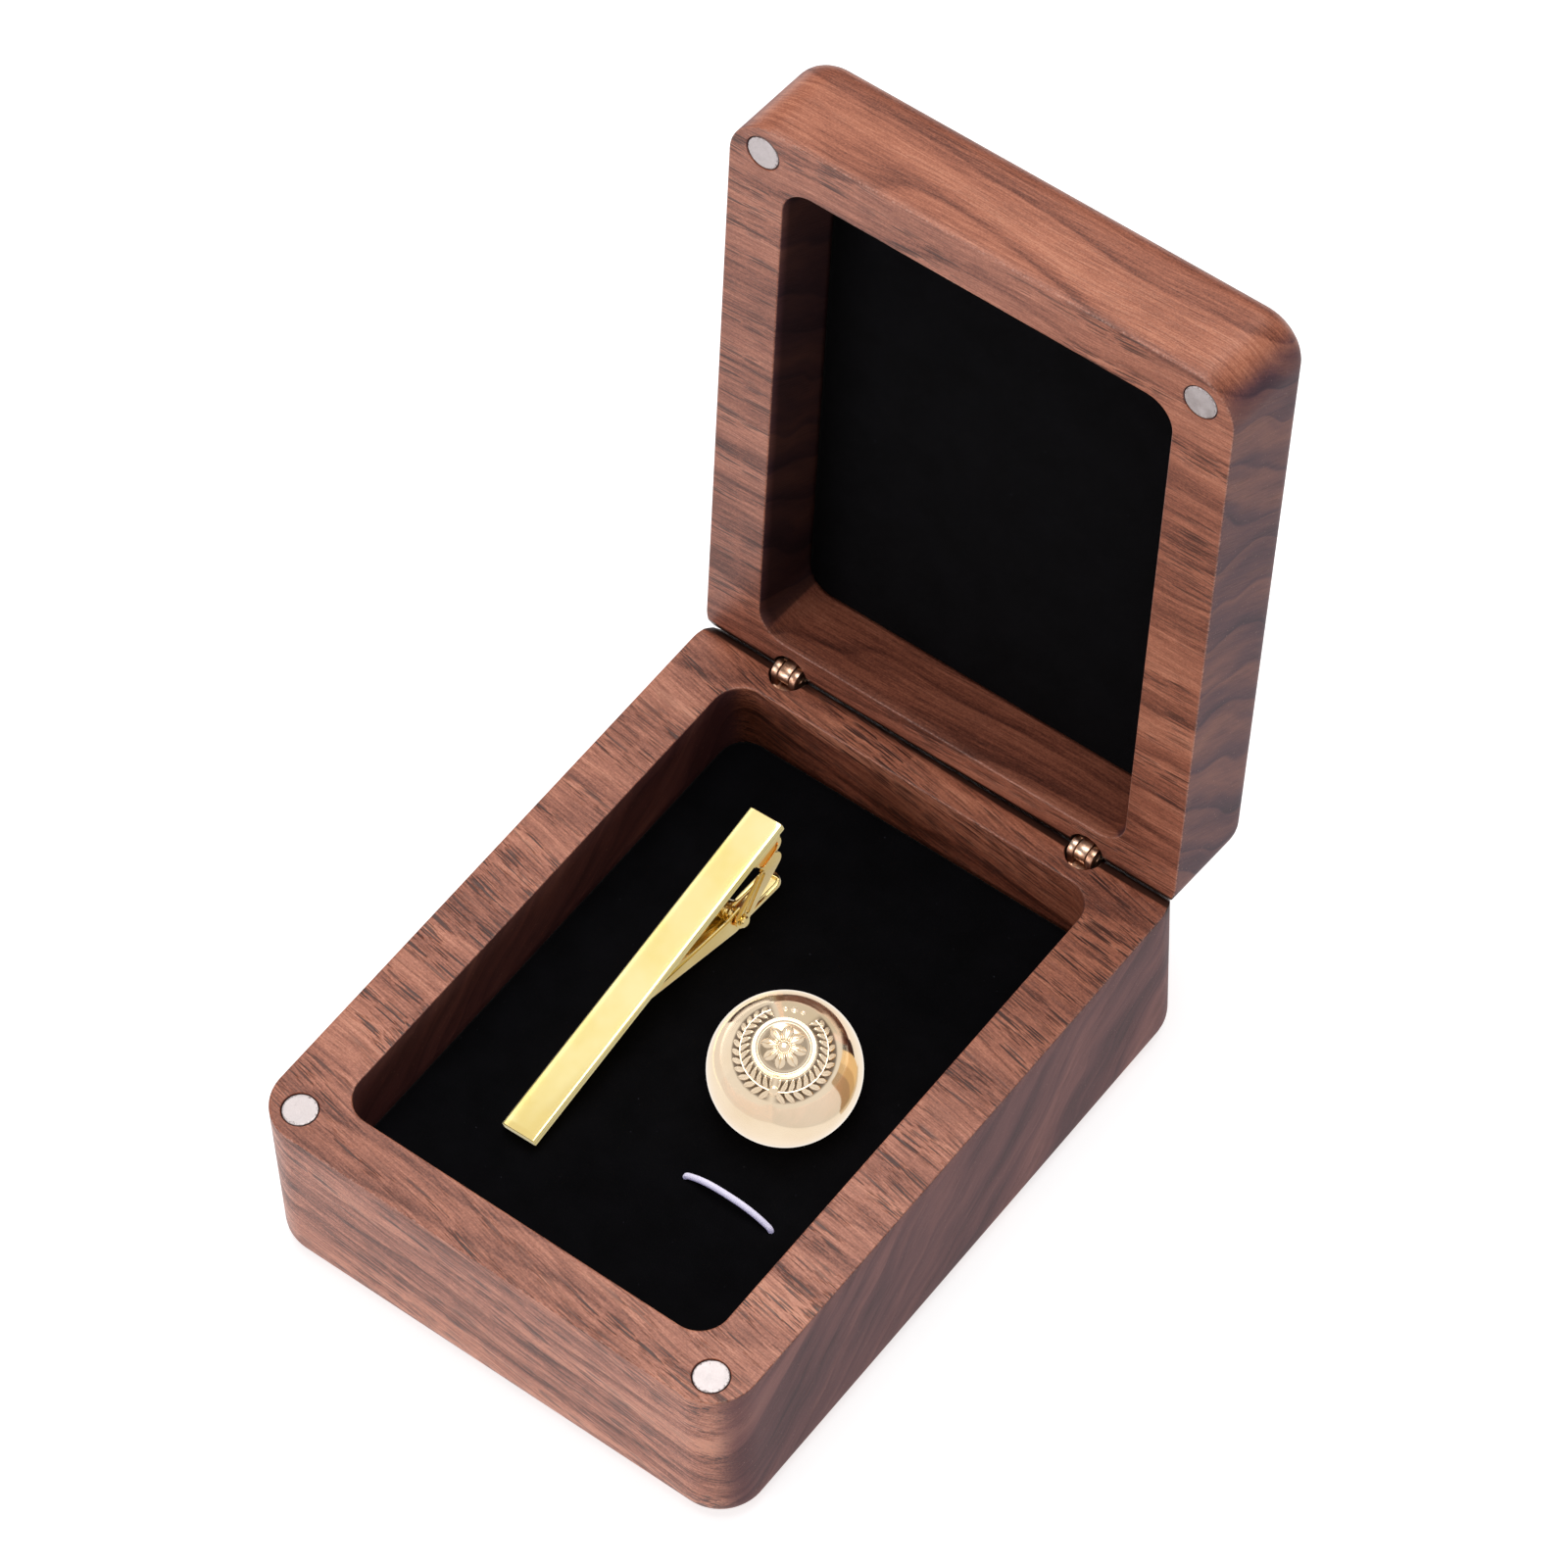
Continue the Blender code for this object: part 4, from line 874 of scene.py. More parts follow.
# Cloth held at its border and at the elastic's two holes, blown up by the foam under it. It is simulated
# many times as large, then its rise is scaled so that the highest point stands one crown up
def clothRise(sizes, lowY, highY, dimples):
    rows, columns, enlarge = sizes["clothRows"], sizes["clothColumns"], sizes["clothScale"]
    x, y = padGrid(sizes, lowY, highY, rows, columns)
    points = np.stack([x, y, np.zeros_like(x)], -1) * enlarge
    sheet = makePiece("coverInFlight", points, gridFaces(rows, columns), closed=False, smoothAngle=None)
    held = np.zeros((rows, columns), bool)
    held[(0, -1), :] = held[:, (0, -1)] = True
    for a, b in dimples:
        held |= np.hypot(x - a, y - b) < sizes["dimpleReach"]
    group = sheet.vertex_groups.new(name="held")
    group.add(np.flatnonzero(held.ravel()).tolist(), 1.0, "REPLACE")
    cloth = sheet.modifiers.new("cloth", "CLOTH").settings
    cloth.quality, cloth.mass, cloth.vertex_group_mass = 5, 0.3, "held"
    cloth.tension_stiffness = cloth.compression_stiffness = 15.0
    cloth.shear_stiffness, cloth.bending_stiffness = 5.0, 2.0
    cloth.use_pressure, cloth.uniform_pressure_force = True, 4.0
    cloth.effector_weights.gravity = 0.0
    scene = bpy.context.scene
    for frameNumber in range(1, sizes["clothFrames"] + 1):
        scene.frame_set(frameNumber)
    settle(sheet)
    scene.frame_set(1)
    rise = np.abs(vertexArray(sheet.data)[:, 2]).reshape(rows, columns)
    print("cloth swelled by", round(float(rise.max()) / enlarge / mm, 2), "mm before its cap")
    bpy.data.objects.remove(sheet, do_unlink=True)
    fineV, fineU = np.linspace(0, rows - 1, sizes["rows"]), np.linspace(0, columns - 1, sizes["columns"])
    rise = np.stack([np.interp(fineV, np.arange(rows), column) for column in rise.T], -1)
    rise = np.stack([np.interp(fineU, np.arange(columns), row) for row in rise])
    # Each point takes a third of its own height and a sixth of each neighbour's
    for _ in range(3):
        inner = rise[1:-1, 1:-1] * 2 + rise[2:, 1:-1] + rise[:-2, 1:-1] + rise[1:-1, 2:] + rise[1:-1, :-2]
        rise[1:-1, 1:-1] = inner / 6
    return rise / rise.max() * sizes["crown"]


# The pad's top: the cloth's rise, a faint ripple, and a bell-shaped dip at each end of the elastic
def velvetSkin(sizes, lowY, highY, dimples):
    x, y = padGrid(sizes, lowY, highY, sizes["rows"], sizes["columns"])
    u, v = np.linspace(-1, 1, sizes["columns"])[None, :], np.linspace(-1, 1, sizes["rows"])[:, None]
    waves = np.sin(x / (5.1 * mm) + 1.3) * np.sin(y / (6.7 * mm)) + np.sin((x + y) / (8.9 * mm))
    drop = sum((sizes["dimple"] * np.exp(-((x - a) ** 2 + (y - b) ** 2) / sizes["dimpleReach"] ** 2)
                for a, b in dimples), np.zeros_like(x))
    inside = (1 - np.abs(u) ** 8) * (1 - np.abs(v) ** 8)
    rise = clothRise(sizes, lowY, highY, dimples)
    return x, y, rise + (sizes["ripple"] * waves - sizes["sink"]) * inside - drop


# The border's points, and for each the way straight out of the round-cornered outline
def padBorder(sizes, top, lowY, highY):
    index = np.arange(top.shape[0] * top.shape[1]).reshape(top.shape[:2])
    border = np.concatenate([index[0, :-1], index[:-1, -1], index[-1, :0:-1], index[:0:-1, 0]])
    rim = top.reshape(-1, 3)[border]
    core = np.array([sizes["halfX"] - sizes["radius"], (highY - lowY) / 2 - sizes["radius"]])
    past = rim[:, :2] - (0.0, (lowY + highY) / 2)
    outward = np.sign(past) * np.maximum(np.abs(past) - core, 0)
    return border, rim, outward / np.linalg.norm(outward, axis=1)[:, None]


# The whole cover: the top grid, then its border carried out over a quarter round and down to the hem
def velvetCover(name, sizes, lowY, highY, face, hem, place, dimples=()):
    way = 1 if face > hem else -1
    x, y, rise = velvetSkin(sizes, lowY, highY, dimples)
    top = np.stack([x, y, face - way * sizes["crown"] + way * rise], -1)
    border, rim, outward = padBorder(sizes, top, lowY, highY)
    rings = []
    for a in np.linspace(0, math.pi / 2, sizes["rollSteps"] + 1)[1:]:
        z = rim[:, 2] - way * sizes["roll"] * (1 - math.cos(a))
        rings.append(np.column_stack([rim[:, :2] + outward * sizes["roll"] * math.sin(a), z]))
    rolled = rings[-1]
    for share in np.linspace(0, 1, sizes["hemSteps"] + 1)[1:]:
        rings.append(np.column_stack([rolled[:, :2], rolled[:, 2] + (hem - rolled[:, 2]) * share]))
    faces = gridFaces(*x.shape)
    below = x.size + np.arange(len(rings) * len(border)).reshape(len(rings), len(border))
    loops = np.concatenate([border[None, :], below])
    a, b = loops[:-1], loops[1:]
    skirt = np.stack([a, b, np.roll(b, -1, axis=1), np.roll(a, -1, axis=1)], -1).reshape(-1, 4)
    points = np.concatenate([top.reshape(-1, 3), np.concatenate(rings)])
    cover = makePiece(name, points, faces + skirt.tolist(), closed=False, smoothAngle=60.0)
    normals = np.empty(len(cover.data.polygons) * 3, np.float32)
    cover.data.polygons.foreach_get("normal", normals)
    if normals.reshape(-1, 3)[: len(faces), 2].sum() * way < 0:
        cover.data.flip_normals()
    wall = cover.modifiers.new("wall", "SOLIDIFY")
    wall.thickness, wall.offset = sizes["thickness"], -1.0
    settle(cover)
    cover.data.transform(place)
    shade(cover, 60.0)
    return cover


velvet = makeVelvet()
loopX, loopY = padSizes["loopCentre"]
ends = [(loopX - padSizes["loopSpan"] / 2, loopY), (loopX + padSizes["loopSpan"] / 2, loopY)]
trayLow, trayHigh = padSizes["trayLow"], padSizes["trayHigh"]
basePad = velvetCover("velvetTray", padSizes, trayLow, trayHigh, padSizes["baseFace"], padSizes["baseHem"],
                      flat, ends)
dress(basePad, "base", velvet, "velvet_black", ["base_velvet"])
lidPad = velvetCover("velvetLid", padSizes, trayLow - hingeLine.y, trayHigh - hingeLine.y,
                     padSizes["lidFace"], padSizes["lidHem"], lidFrame)
dress(lidPad, "lid", velvet, "velvet_black", ["lid_velvet"])
print("velvet pads laid:", len(basePad.data.polygons), "and", len(lidPad.data.polygons), "faces")


# Elastic loop: a low arch, its ends sunk in the pad, in a woven lilac sheath
loopSizes = {
    "radius": 0.46 * mm, "span": 14.4 * mm, "crown": 1.35 * mm, "dip": 0.45 * mm, "fullness": 2.6,
    "anchor": 3.0 * mm, "face": 18.9 * mm, "pinch": 0.30, "steps": 160, "rounding": 4,
    "strands": 14.0, "strandsPerMetre": 5200.0,
}


# Two sets of strands wind round the sheath in opposite ways
def makeElastic(sizes):
    shop = Shop("lilacElastic", 0.8)
    parts = shop.split(shop.place(scale=(sizes["strands"], sizes["strandsPerMetre"], 1.0), source="UV"))
    u, v = parts["X"], parts["Y"]
    left = shop.maths("SINE", shop.times(shop.plus(u, v), math.pi))
    right = shop.maths("SINE", shop.times(shop.minus(u, v), math.pi))
    weave = shop.maths("ABSOLUTE", shop.times(left, right))
    fuzz = shop.noise(shop.place(), (6.0, 6.0, 6.0), 3.0, 0.7)
    tone = shop.plus(shop.times(weave, 0.55), shop.times(fuzz, 0.55))
    colour = shop.ramp(tone, ((0.15, (0.58, 0.55, 0.88)), (0.42, (0.90, 0.87, 1.0)),
                              (0.72, (0.98, 0.96, 1.0))))
    shop.bump(tone, 0.00008, 0.9)
    # Painted light: the sheath glows faintly lilac, so that it reads brighter than its lamps alone make it
    return shop.set(Base_Color=colour, Sheen_Weight=0.15, Emission_Color=(0.34, 0.33, 0.62, 1.0),
                    Emission_Strength=0.36)


# The path above the pad is a low arch, its height falling off as a power of the way out from the middle;
# at each end it turns down into the pad. Averaging neighbours rounds the turns
def addLoop(sizes, centre, material):
    half, dip, steps, window = sizes["span"] / 2, sizes["dip"], sizes["steps"], 2 * sizes["rounding"] + 1
    t = np.linspace(-1, 1, 121)
    rise = sizes["face"] - dip + (sizes["crown"] + dip) * (1 - np.abs(t) ** sizes["fullness"])
    arch = np.column_stack([t * half, rise])
    depth = np.linspace(sizes["anchor"], dip + 0.05 * mm, 20)[:, None]
    leg = np.hstack([np.full_like(depth, half), sizes["face"] - depth])
    path = np.concatenate([leg * (-1, 1), arch, leg[::-1]])
    along = np.concatenate([[0], np.cumsum(np.linalg.norm(np.diff(path, axis=0), axis=1))])
    even = np.linspace(0, along[-1], steps)
    path = np.column_stack([np.interp(even, along, path[:, k]) for k in range(2)])
    wide = np.pad(path, ((sizes["rounding"],) * 2, (0, 0)), mode="edge")
    path = sum(wide[k: k + steps] for k in range(window)) / window
    path = np.column_stack([centre[0] + path[:, 0], np.full(steps, centre[1]), path[:, 1]])
    slim = 1 - sizes["pinch"] * (1 - np.sin(math.pi * np.linspace(0, 1, steps)) ** 0.35)
    loop = tubeAlong("elasticLoop", path, sizes["radius"] * slim, 20)
    dress(loop, "base", material, "elastic_lilac", ["elastic_loop"])
    return along[-1]


loopLength = addLoop(loopSizes, padSizes["loopCentre"], makeElastic(loopSizes))
print(f"elastic loop: {loopLength / mm:.1f} mm long")


# Golds: polished plate with faint waves and hairlines; deep places may take a painted shade tone of their own
def makeGold(name, colours, roughness, waves=0.00002, paintedShadeTone=None):
    shop = Shop(name, roughness, 1.0)
    place = shop.place()
    cloud = shop.noise(place, (0.12, 0.12, 0.12), 3.0, 0.6)
    hair = shop.noise(place, (1.2, 14.0, 14.0), 2.0)
    colour = shop.ramp(cloud, tuple(zip((0.32, 0.50, 0.70), colours)))
    if paintedShadeTone:
        paintedShade = shop.attribute("paintedShade")
        colour = shop.mix(paintedShade, colour, paintedShadeTone)
    shop.bump(shop.plus(shop.times(hair, 0.12), cloud), waves, 0.4)
    satin = shop.remap(cloud, 0.3, 0.7, roughness + 0.03, roughness - 0.02)
    return shop.set(Base_Color=colour, Roughness=satin)


barGold = makeGold("barGold", ((0.91, 0.75, 0.29), (0.94, 0.80, 0.36), (0.96, 0.84, 0.42)), 0.10)
claspGold = makeGold("claspGold", ((0.83, 0.62, 0.24), (0.89, 0.70, 0.30), (0.94, 0.78, 0.38)), 0.16,
                     paintedShadeTone=(0.86, 0.40, 0.06))
domeGold = makeGold("domeGold", ((0.87, 0.70, 0.49), (0.90, 0.74, 0.54), (0.93, 0.78, 0.58)), 0.10,
                    paintedShadeTone=(0.11, 0.07, 0.045))


# Tie bar. In its own frame X runs across, Y to the rear end and Z out of the show face,
# with the clasp's pivot at the origin
barSizes = {
    "halfWidth": 2.85 * mm, "front": -43.8 * mm, "rear": 12.2 * mm, "top": 8.4 * mm, "under": 7.0 * mm,
    "edge": 0.18 * mm, "sideFall": 0.13 * mm, "sideBand": 2.1 * mm, "stations": 58,
}


# Cross-section: a rounded rectangle whose show face falls away a little towards each long edge;
# near each end it is drawn in along a quarter round
def addBar(sizes, material):
    half, edge, middle = sizes["halfWidth"], sizes["edge"], (sizes["top"] + sizes["under"]) / 2
    low, high = sizes["under"] - middle, sizes["top"] - middle
    section = roundRectangle(half, low, high, edge, cornerSteps=8, sideSteps=24)
    fall = np.clip((np.abs(section[:, 0]) - (half - sizes["sideBand"])) / sizes["sideBand"], 0, 1) ** 2
    section[:, 1] -= np.where(section[:, 1] > 0, fall * sizes["sideFall"], 0)
    bend = np.linspace(0, math.pi / 2, 7)
    front, rear = sizes["front"], sizes["rear"]
    plain = np.linspace(front + edge, rear - edge, sizes["stations"] + 2)[1:-1]
    eased = edge * (1 - np.cos(bend))
    stations = np.concatenate([front + eased, plain, (rear - eased)[::-1]])
    inset = edge * (1 - np.sin(bend))
    insets = np.concatenate([inset, np.zeros(sizes["stations"]), inset[::-1]])[:, None]
    x = section[None, :, 0] * (1 - insets / half)
    z = section[None, :, 1] * (1 - insets / high) + middle
    y = np.broadcast_to(stations[:, None], x.shape)
    bar = makePiece("tieBarFace", np.stack([x, y, z], -1), ringFaces(*x.shape), barFrame, smoothAngle=50.0)
    dress(bar, "tie_bar", material, "bar_gold", ["tie_bar_face"])


addBar(barSizes, barGold)


# Clasp: bracket arms under the bar's rear end, a channel-shaped lever, rivet and spring
claspSizes = {
    "armInner": 2.0 * mm, "sheet": 0.5 * mm, "edge": 0.09 * mm,
    "plateTop": 6.7 * mm, "plateFront": 5.5 * mm, "plateRear": 11.2 * mm,
    "boss": 1.2 * mm, "lobes": (((9.9, 5.75), 1.25, 20, -118), ((8.75, 3.25), 1.30, 38, -62)),
    "throat": 0.62, "throatStep": 1.0 * mm,
    "slot": ((1.30 * mm, 0.75 * mm), (6.0 * mm, 3.55 * mm)), "slotWidth": 0.40 * mm, "rim": 0.13 * mm,
    "hollow": ((10.45, 5.95), (10.35, 5.35), (9.70, 4.75), (8.20, 4.55), (6.75, 4.45), (6.20, 5.10),
               (6.25, 5.95)),
    "recess": 0.22 * mm, "past": 4.0 * mm,
    "leverHalf": 1.7 * mm, "leverCorner": 0.35 * mm, "pivotUnder": -2.1 * mm, "cheek": 1.2 * mm,
    "gripStart": -19.5 * mm, "gripEnd": -32.8 * mm, "gripTop": 6.7 * mm, "gripUnder": 5.8 * mm,
    "shoulder": (0.9 * mm, 0.45 * mm), "tailEnd": 9.2 * mm, "tailUnder": -4.0 * mm, "tailTop": -3.05 * mm,
    "tailStart": (0.15 * mm, 0.35 * mm), "tooth": 0.89 * mm, "teeth": 5, "toothHeight": 0.3 * mm,
    "pin": 0.55 * mm, "pinHead": 0.9 * mm, "headReach": (2.8 * mm, 3.1 * mm), "headEdge": 0.12 * mm,
    "wire": 0.15 * mm, "coil": 1.1 * mm, "turns": 2.25, "pitch": 0.8 * mm, "legReach": 2.85 * mm,
    "legDrop": 0.3 * mm, "footReach": 1.8 * mm, "knee": 0.72, "shin": 0.30,
}


# An arm from the side: two round lobes behind, a strut down and forward, and a round boss on the pivot
def armOutline(sizes):
    rear, front, top = sizes["plateRear"], sizes["plateFront"], sizes["plateTop"]
    lobes = []
    for (y, z), reach, start, end in sizes["lobes"]:
        turn = np.radians(np.linspace(start, end, 12))
        lobes.append(mm * np.column_stack([y + reach * np.cos(turn), z + reach * np.sin(turn)]))
    points = np.concatenate([[(front, top), (rear, top)]] + lobes)
    lean = math.atan2(points[-1, 1], points[-1, 0])
    angle = lean - math.pi / 2 - np.linspace(0, math.pi, 25)
    boss = sizes["boss"] * np.column_stack([np.cos(angle), np.sin(angle)])
    return np.concatenate([points, boss, [(front + sizes["throatStep"], top * sizes["throat"])]])


# A slot with round ends between two points of the side view
def slotOutline(start, end, width):
    start, end = np.array(start), np.array(end)
    lean = math.atan2(end[1] - start[1], end[0] - start[0])
    turn = np.linspace(-math.pi / 2, math.pi / 2, 13) + lean
    half = width * np.column_stack([np.cos(turn), np.sin(turn)])
    return np.concatenate([start - half, end + half])


# Painted shade: the recess under the bar and the arms' inner faces take a deep orange tone, for the shade and
# the light bounced between gold faces there
def markPaintedShade(piece, sizes, hollow):
    p = vertexArray(piece.data)
    across, near = np.abs(p[:, 0]), 0.05 * mm
    paintedShade = 1 - ease(across, sizes["armInner"] - near, sizes["armInner"] + 0.12 * mm)
    inside = ((p[:, 1:] > hollow.min(axis=0) - near) & (p[:, 1:] < hollow.max(axis=0) + near)).all(axis=1)
    sunk = across < sizes["armInner"] + sizes["sheet"] - sizes["recess"] + 0.08 * mm
    keepValues(piece, "paintedShade", np.maximum(paintedShade, (inside & sunk).astype(float)))


def addBracket(sizes, material):
    inner, outer = sizes["armInner"], sizes["armInner"] + sizes["sheet"]
    front, rear, top = sizes["plateFront"], sizes["plateRear"], sizes["plateTop"]
    under, past = top - sizes["sheet"], sizes["past"]
    hollow = mm * np.array(sizes["hollow"])
    plate = [(front, under), (rear, under), (rear, top), (front, top)]
    bracket = crossPlate("claspBracket", plate, -outer, outer)
    arms, recesses, rims = [], [], []
    for sign in (-1, 1):
        arms.append(crossPlate(f"arm{sign}", armOutline(sizes), *sorted((sign * inner, sign * outer))))
    carve(bracket, arms, "UNION")
    slot = slotOutline(*sizes["slot"], sizes["slotWidth"])
    recesses.append(crossPlate("cutSlot", slot, -past, past))
    for sign in (-1, 1):
        span = sorted((sign * (outer - sizes["recess"]), sign * past))
        recesses.append(crossPlate(f"cutRecess{sign}", hollow, *span))
    carve(bracket, recesses + [pinCutter(sizes["pin"])])
    for sign in (-1, 1):
        wide = slotOutline(*sizes["slot"], sizes["slotWidth"] + 1.6 * sizes["rim"])
        span = sorted((sign * (outer - 0.1 * mm), sign * (outer + sizes["rim"])))
        rims.append(carve(crossPlate(f"rim{sign}", wide, *span), [crossPlate("cutRim", slot, -past, past)]))
    carve(bracket, rims, "UNION", rounding=sizes["edge"])
    markPaintedShade(bracket, sizes, hollow)
    bracket.data.transform(barFrame)
    dress(bracket, "tie_bar", material, "clasp_gold", ["tie_bar_bracket"])


# The lever is a pressed channel: at each place along Y a U of its own width, floor and wall height.
# Its outer form is a rounded box of changing height; a second, narrower one hollows it
def leverForm(name, sizes, half, lift, cut):
    start, end, tail, cheek = sizes["gripStart"], sizes["gripEnd"], sizes["tailEnd"], sizes["cheek"]
    grip, neck, rear = np.linspace(end, start, 90), np.linspace(start, 0, 40), np.linspace(0, tail, 60)
    y = np.concatenate([grip, neck[1:], rear[1:]])
    if cut:
        y = y[(y > start + 0.5 * mm) & (y < tail - sizes["sheet"])]
    (shoulder, shoulderDrop), (tailDrop, tailLift) = sizes["shoulder"], sizes["tailStart"]
    pivot, gripTop = sizes["pivotUnder"], sizes["gripTop"]
    below = [sizes["gripUnder"], sizes["gripUnder"], pivot, pivot - tailDrop, sizes["tailUnder"]]
    under = np.interp(y, [end, start, -cheek, cheek, tail], below)
    above = [gripTop, gripTop, gripTop - shoulderDrop, cheek, 0.8 * cheek, pivot + tailLift, sizes["tailTop"]]
    top = np.interp(y, [end, start - shoulder, start + shoulder, -cheek, cheek, 2 * cheek, tail], above)
    inTeeth = y < end + sizes["teeth"] * sizes["tooth"]
    teeth = np.abs(((y - end) / sizes["tooth"]) % 1 - 0.5) * 2 * inTeeth
    top = top - sizes["toothHeight"] * (1 - teeth) * inTeeth
    under = under + lift
    if cut:
        top = np.full_like(y, gripTop + 2 * mm)
    endRound = np.clip((y - (tail - sizes["leverHalf"])) / sizes["leverHalf"], 0, 0.985)
    width = half * np.sqrt(1 - endRound ** 2)
    corner = min(sizes["leverCorner"], 0.4 * half)
    turn = np.linspace(0, math.pi / 2, 6)
    rightX = width[:, None] - corner + corner * np.cos(turn)[None, :]
    rightZ = under[:, None] + corner - corner * np.sin(turn)[None, :]
    x = np.concatenate([-width[:, None], width[:, None], rightX, -rightX[:, ::-1]], axis=1)
    z = np.concatenate([top[:, None], top[:, None], rightZ, rightZ[:, ::-1]], axis=1)
    y = np.broadcast_to(y[:, None], x.shape)
    return makePiece(name, np.stack([x, y, z], -1), ringFaces(*x.shape))


def addLever(sizes, material):
    lever = leverForm("claspLever", sizes, sizes["leverHalf"], 0.0, False)
    trough = leverForm("cutTrough", sizes, sizes["leverHalf"] - sizes["sheet"], sizes["sheet"], True)
    carve(lever, [trough, pinCutter(sizes["pin"])], rounding=sizes["edge"])
    lever.data.transform(barFrame)
    dress(lever, "base", material, "clasp_gold", ["tie_bar_jaw"])


def addRivet(sizes, material):
    near, far = sizes["headReach"]
    r, head = sizes["pin"], sizes["pinHead"]
    half = [(r, 0), (r, near), (head, near), (head, near + sizes["headEdge"]), (head * 0.75, far), (0, far)]
    profile = [(a, -b) for a, b in half[::-1]] + half[1:]
    rivet = turnedSolid("claspRivet", profile, barFrame, 40, axis="X")
    dress(rivet, "tie_bar", material, "clasp_gold", ["tie_bar_pin"])


# A leg that lies under the plate, turns round the rivet at a steady pitch, and a short foot on the lever
def addSpring(sizes, material):
    turns, pitch, coil = sizes["turns"], sizes["pitch"], sizes["coil"]
    left = -turns * pitch / 2
    lift = sizes["plateTop"] - sizes["sheet"] - sizes["legDrop"] - sizes["wire"]
    leg = np.array([(left, sizes["plateFront"] + sizes["legReach"], lift), (left, sizes["plateFront"], lift),
                    (left, coil, lift * sizes["knee"]), (left, -coil, lift * sizes["shin"])])
    turn = np.linspace(0, turns, 64)
    angle = math.pi + 2 * math.pi * turn
    wound = np.column_stack([left + pitch * turn, coil * np.cos(angle), coil * np.sin(angle)])
    foot = [(wound[-1, 0], sizes["footReach"], -coil)]
    spring = tubeAlong("claspSpring", np.concatenate([leg, wound, foot]), sizes["wire"], 10, barFrame)
    dress(spring, "tie_bar", material, "clasp_gold", ["tie_bar_spring"])


addBracket(claspSizes, claspGold)
addLever(claspSizes, claspGold)
addRivet(claspSizes, claspGold)
addSpring(claspSizes, claspGold)
print("tie bar assembled")


# Cufflink dome: a polished cap with a raised star in a ring, two sprays of leaves and three beads
domeSizes = {
    "radius": 10.6 * mm, "cut": 3.71 * mm, "shell": 0.7 * mm, "innerGap": 0.3 * mm, "innerPole": 0.12,
    "around": 464, "ornamentRings": 180, "plainRings": 24, "innerRings": 9,
    "relief": 0.36 * mm, "sunk": 0.95, "ornamentEdge": 8.8 * mm, "plainStart": 12.5 * mm,
    "turn": math.radians(72), "enlarge": 1.20, "darkest": 0.92,
}
# The ornament, in millimetres before it is enlarged. A ray says how many go round, where the first
# stands in shares of a step, its reach, width and lift; a ring its distance, width and lift; a bead its
# angle and radius; a row of leaves its side of the stem, shift and lift
ornamentSizes = {
    "hub": 0.62, "rayStart": 0.7, "rays": ((8, 0.0, 2.75, 0.92, 0.85), (8, 0.5, 2.05, 0.62, 0.55)),
    "rings": ((3.35, 0.13, 0.75), (3.75, 0.06, 0.45)), "darkRing": (3.08, 0.11, 0.75),
    "stem": 5.35, "stemWidth": 0.11, "sprayStart": 0.03, "sprayLength": 0.80,
    "leaves": 13, "leafRows": ((-1, 0.0, 0.9), (1, 0.5, 0.95)), "leafReach": 1.55, "leafSlant": -0.52,
    "knot": 0.62, "beads": ((1.571, 0.46), (1.571 - 0.21, 0.30), (1.571 + 0.21, 0.30)),
    "bandWidth": 1.75, "bandDip": 0.30, "starShade": 0.62,
}


# A bell about a place
def bell(x, middle, width, power=2):
    return np.exp(-((x - middle) / width) ** power)


# Two sprays of leaves rise from a knot at the bottom, one up each side. A leaf is a lens that slants
# away from the stem and shrinks towards the tip, with a rib along it and fine veins
def sprays(sizes, d, along):
    first, length = sizes["sprayStart"], sizes["sprayLength"]
    span = np.clip((along - first) / length, 0, 1)
    inside = (along > first) & (along < first + length)
    height = 0.6 * bell(d, sizes["stem"], sizes["stemWidth"]) * inside
    for sign, shift, lift in sizes["leafRows"]:
        cell = span * sizes["leaves"] + shift + sign * (d - sizes["stem"]) * sizes["leafSlant"]
        side = np.abs((cell % 1) - 0.5) * 2
        size = 1.0 - 0.35 * span
        out = np.clip(sign * (d - sizes["stem"]) / (sizes["leafReach"] * size), 0, 1)
        leaf = np.clip(0.86 * np.sin(math.pi * out ** 0.75) ** 0.65 - side, 0, 1) ** 0.45
        veins = 0.20 * np.abs(np.sin(7 * math.pi * out - 6 * side))
        height = np.maximum(height, leaf * (lift - 0.5 * bell(side, 0, 0.12) - veins) * inside)
    return height


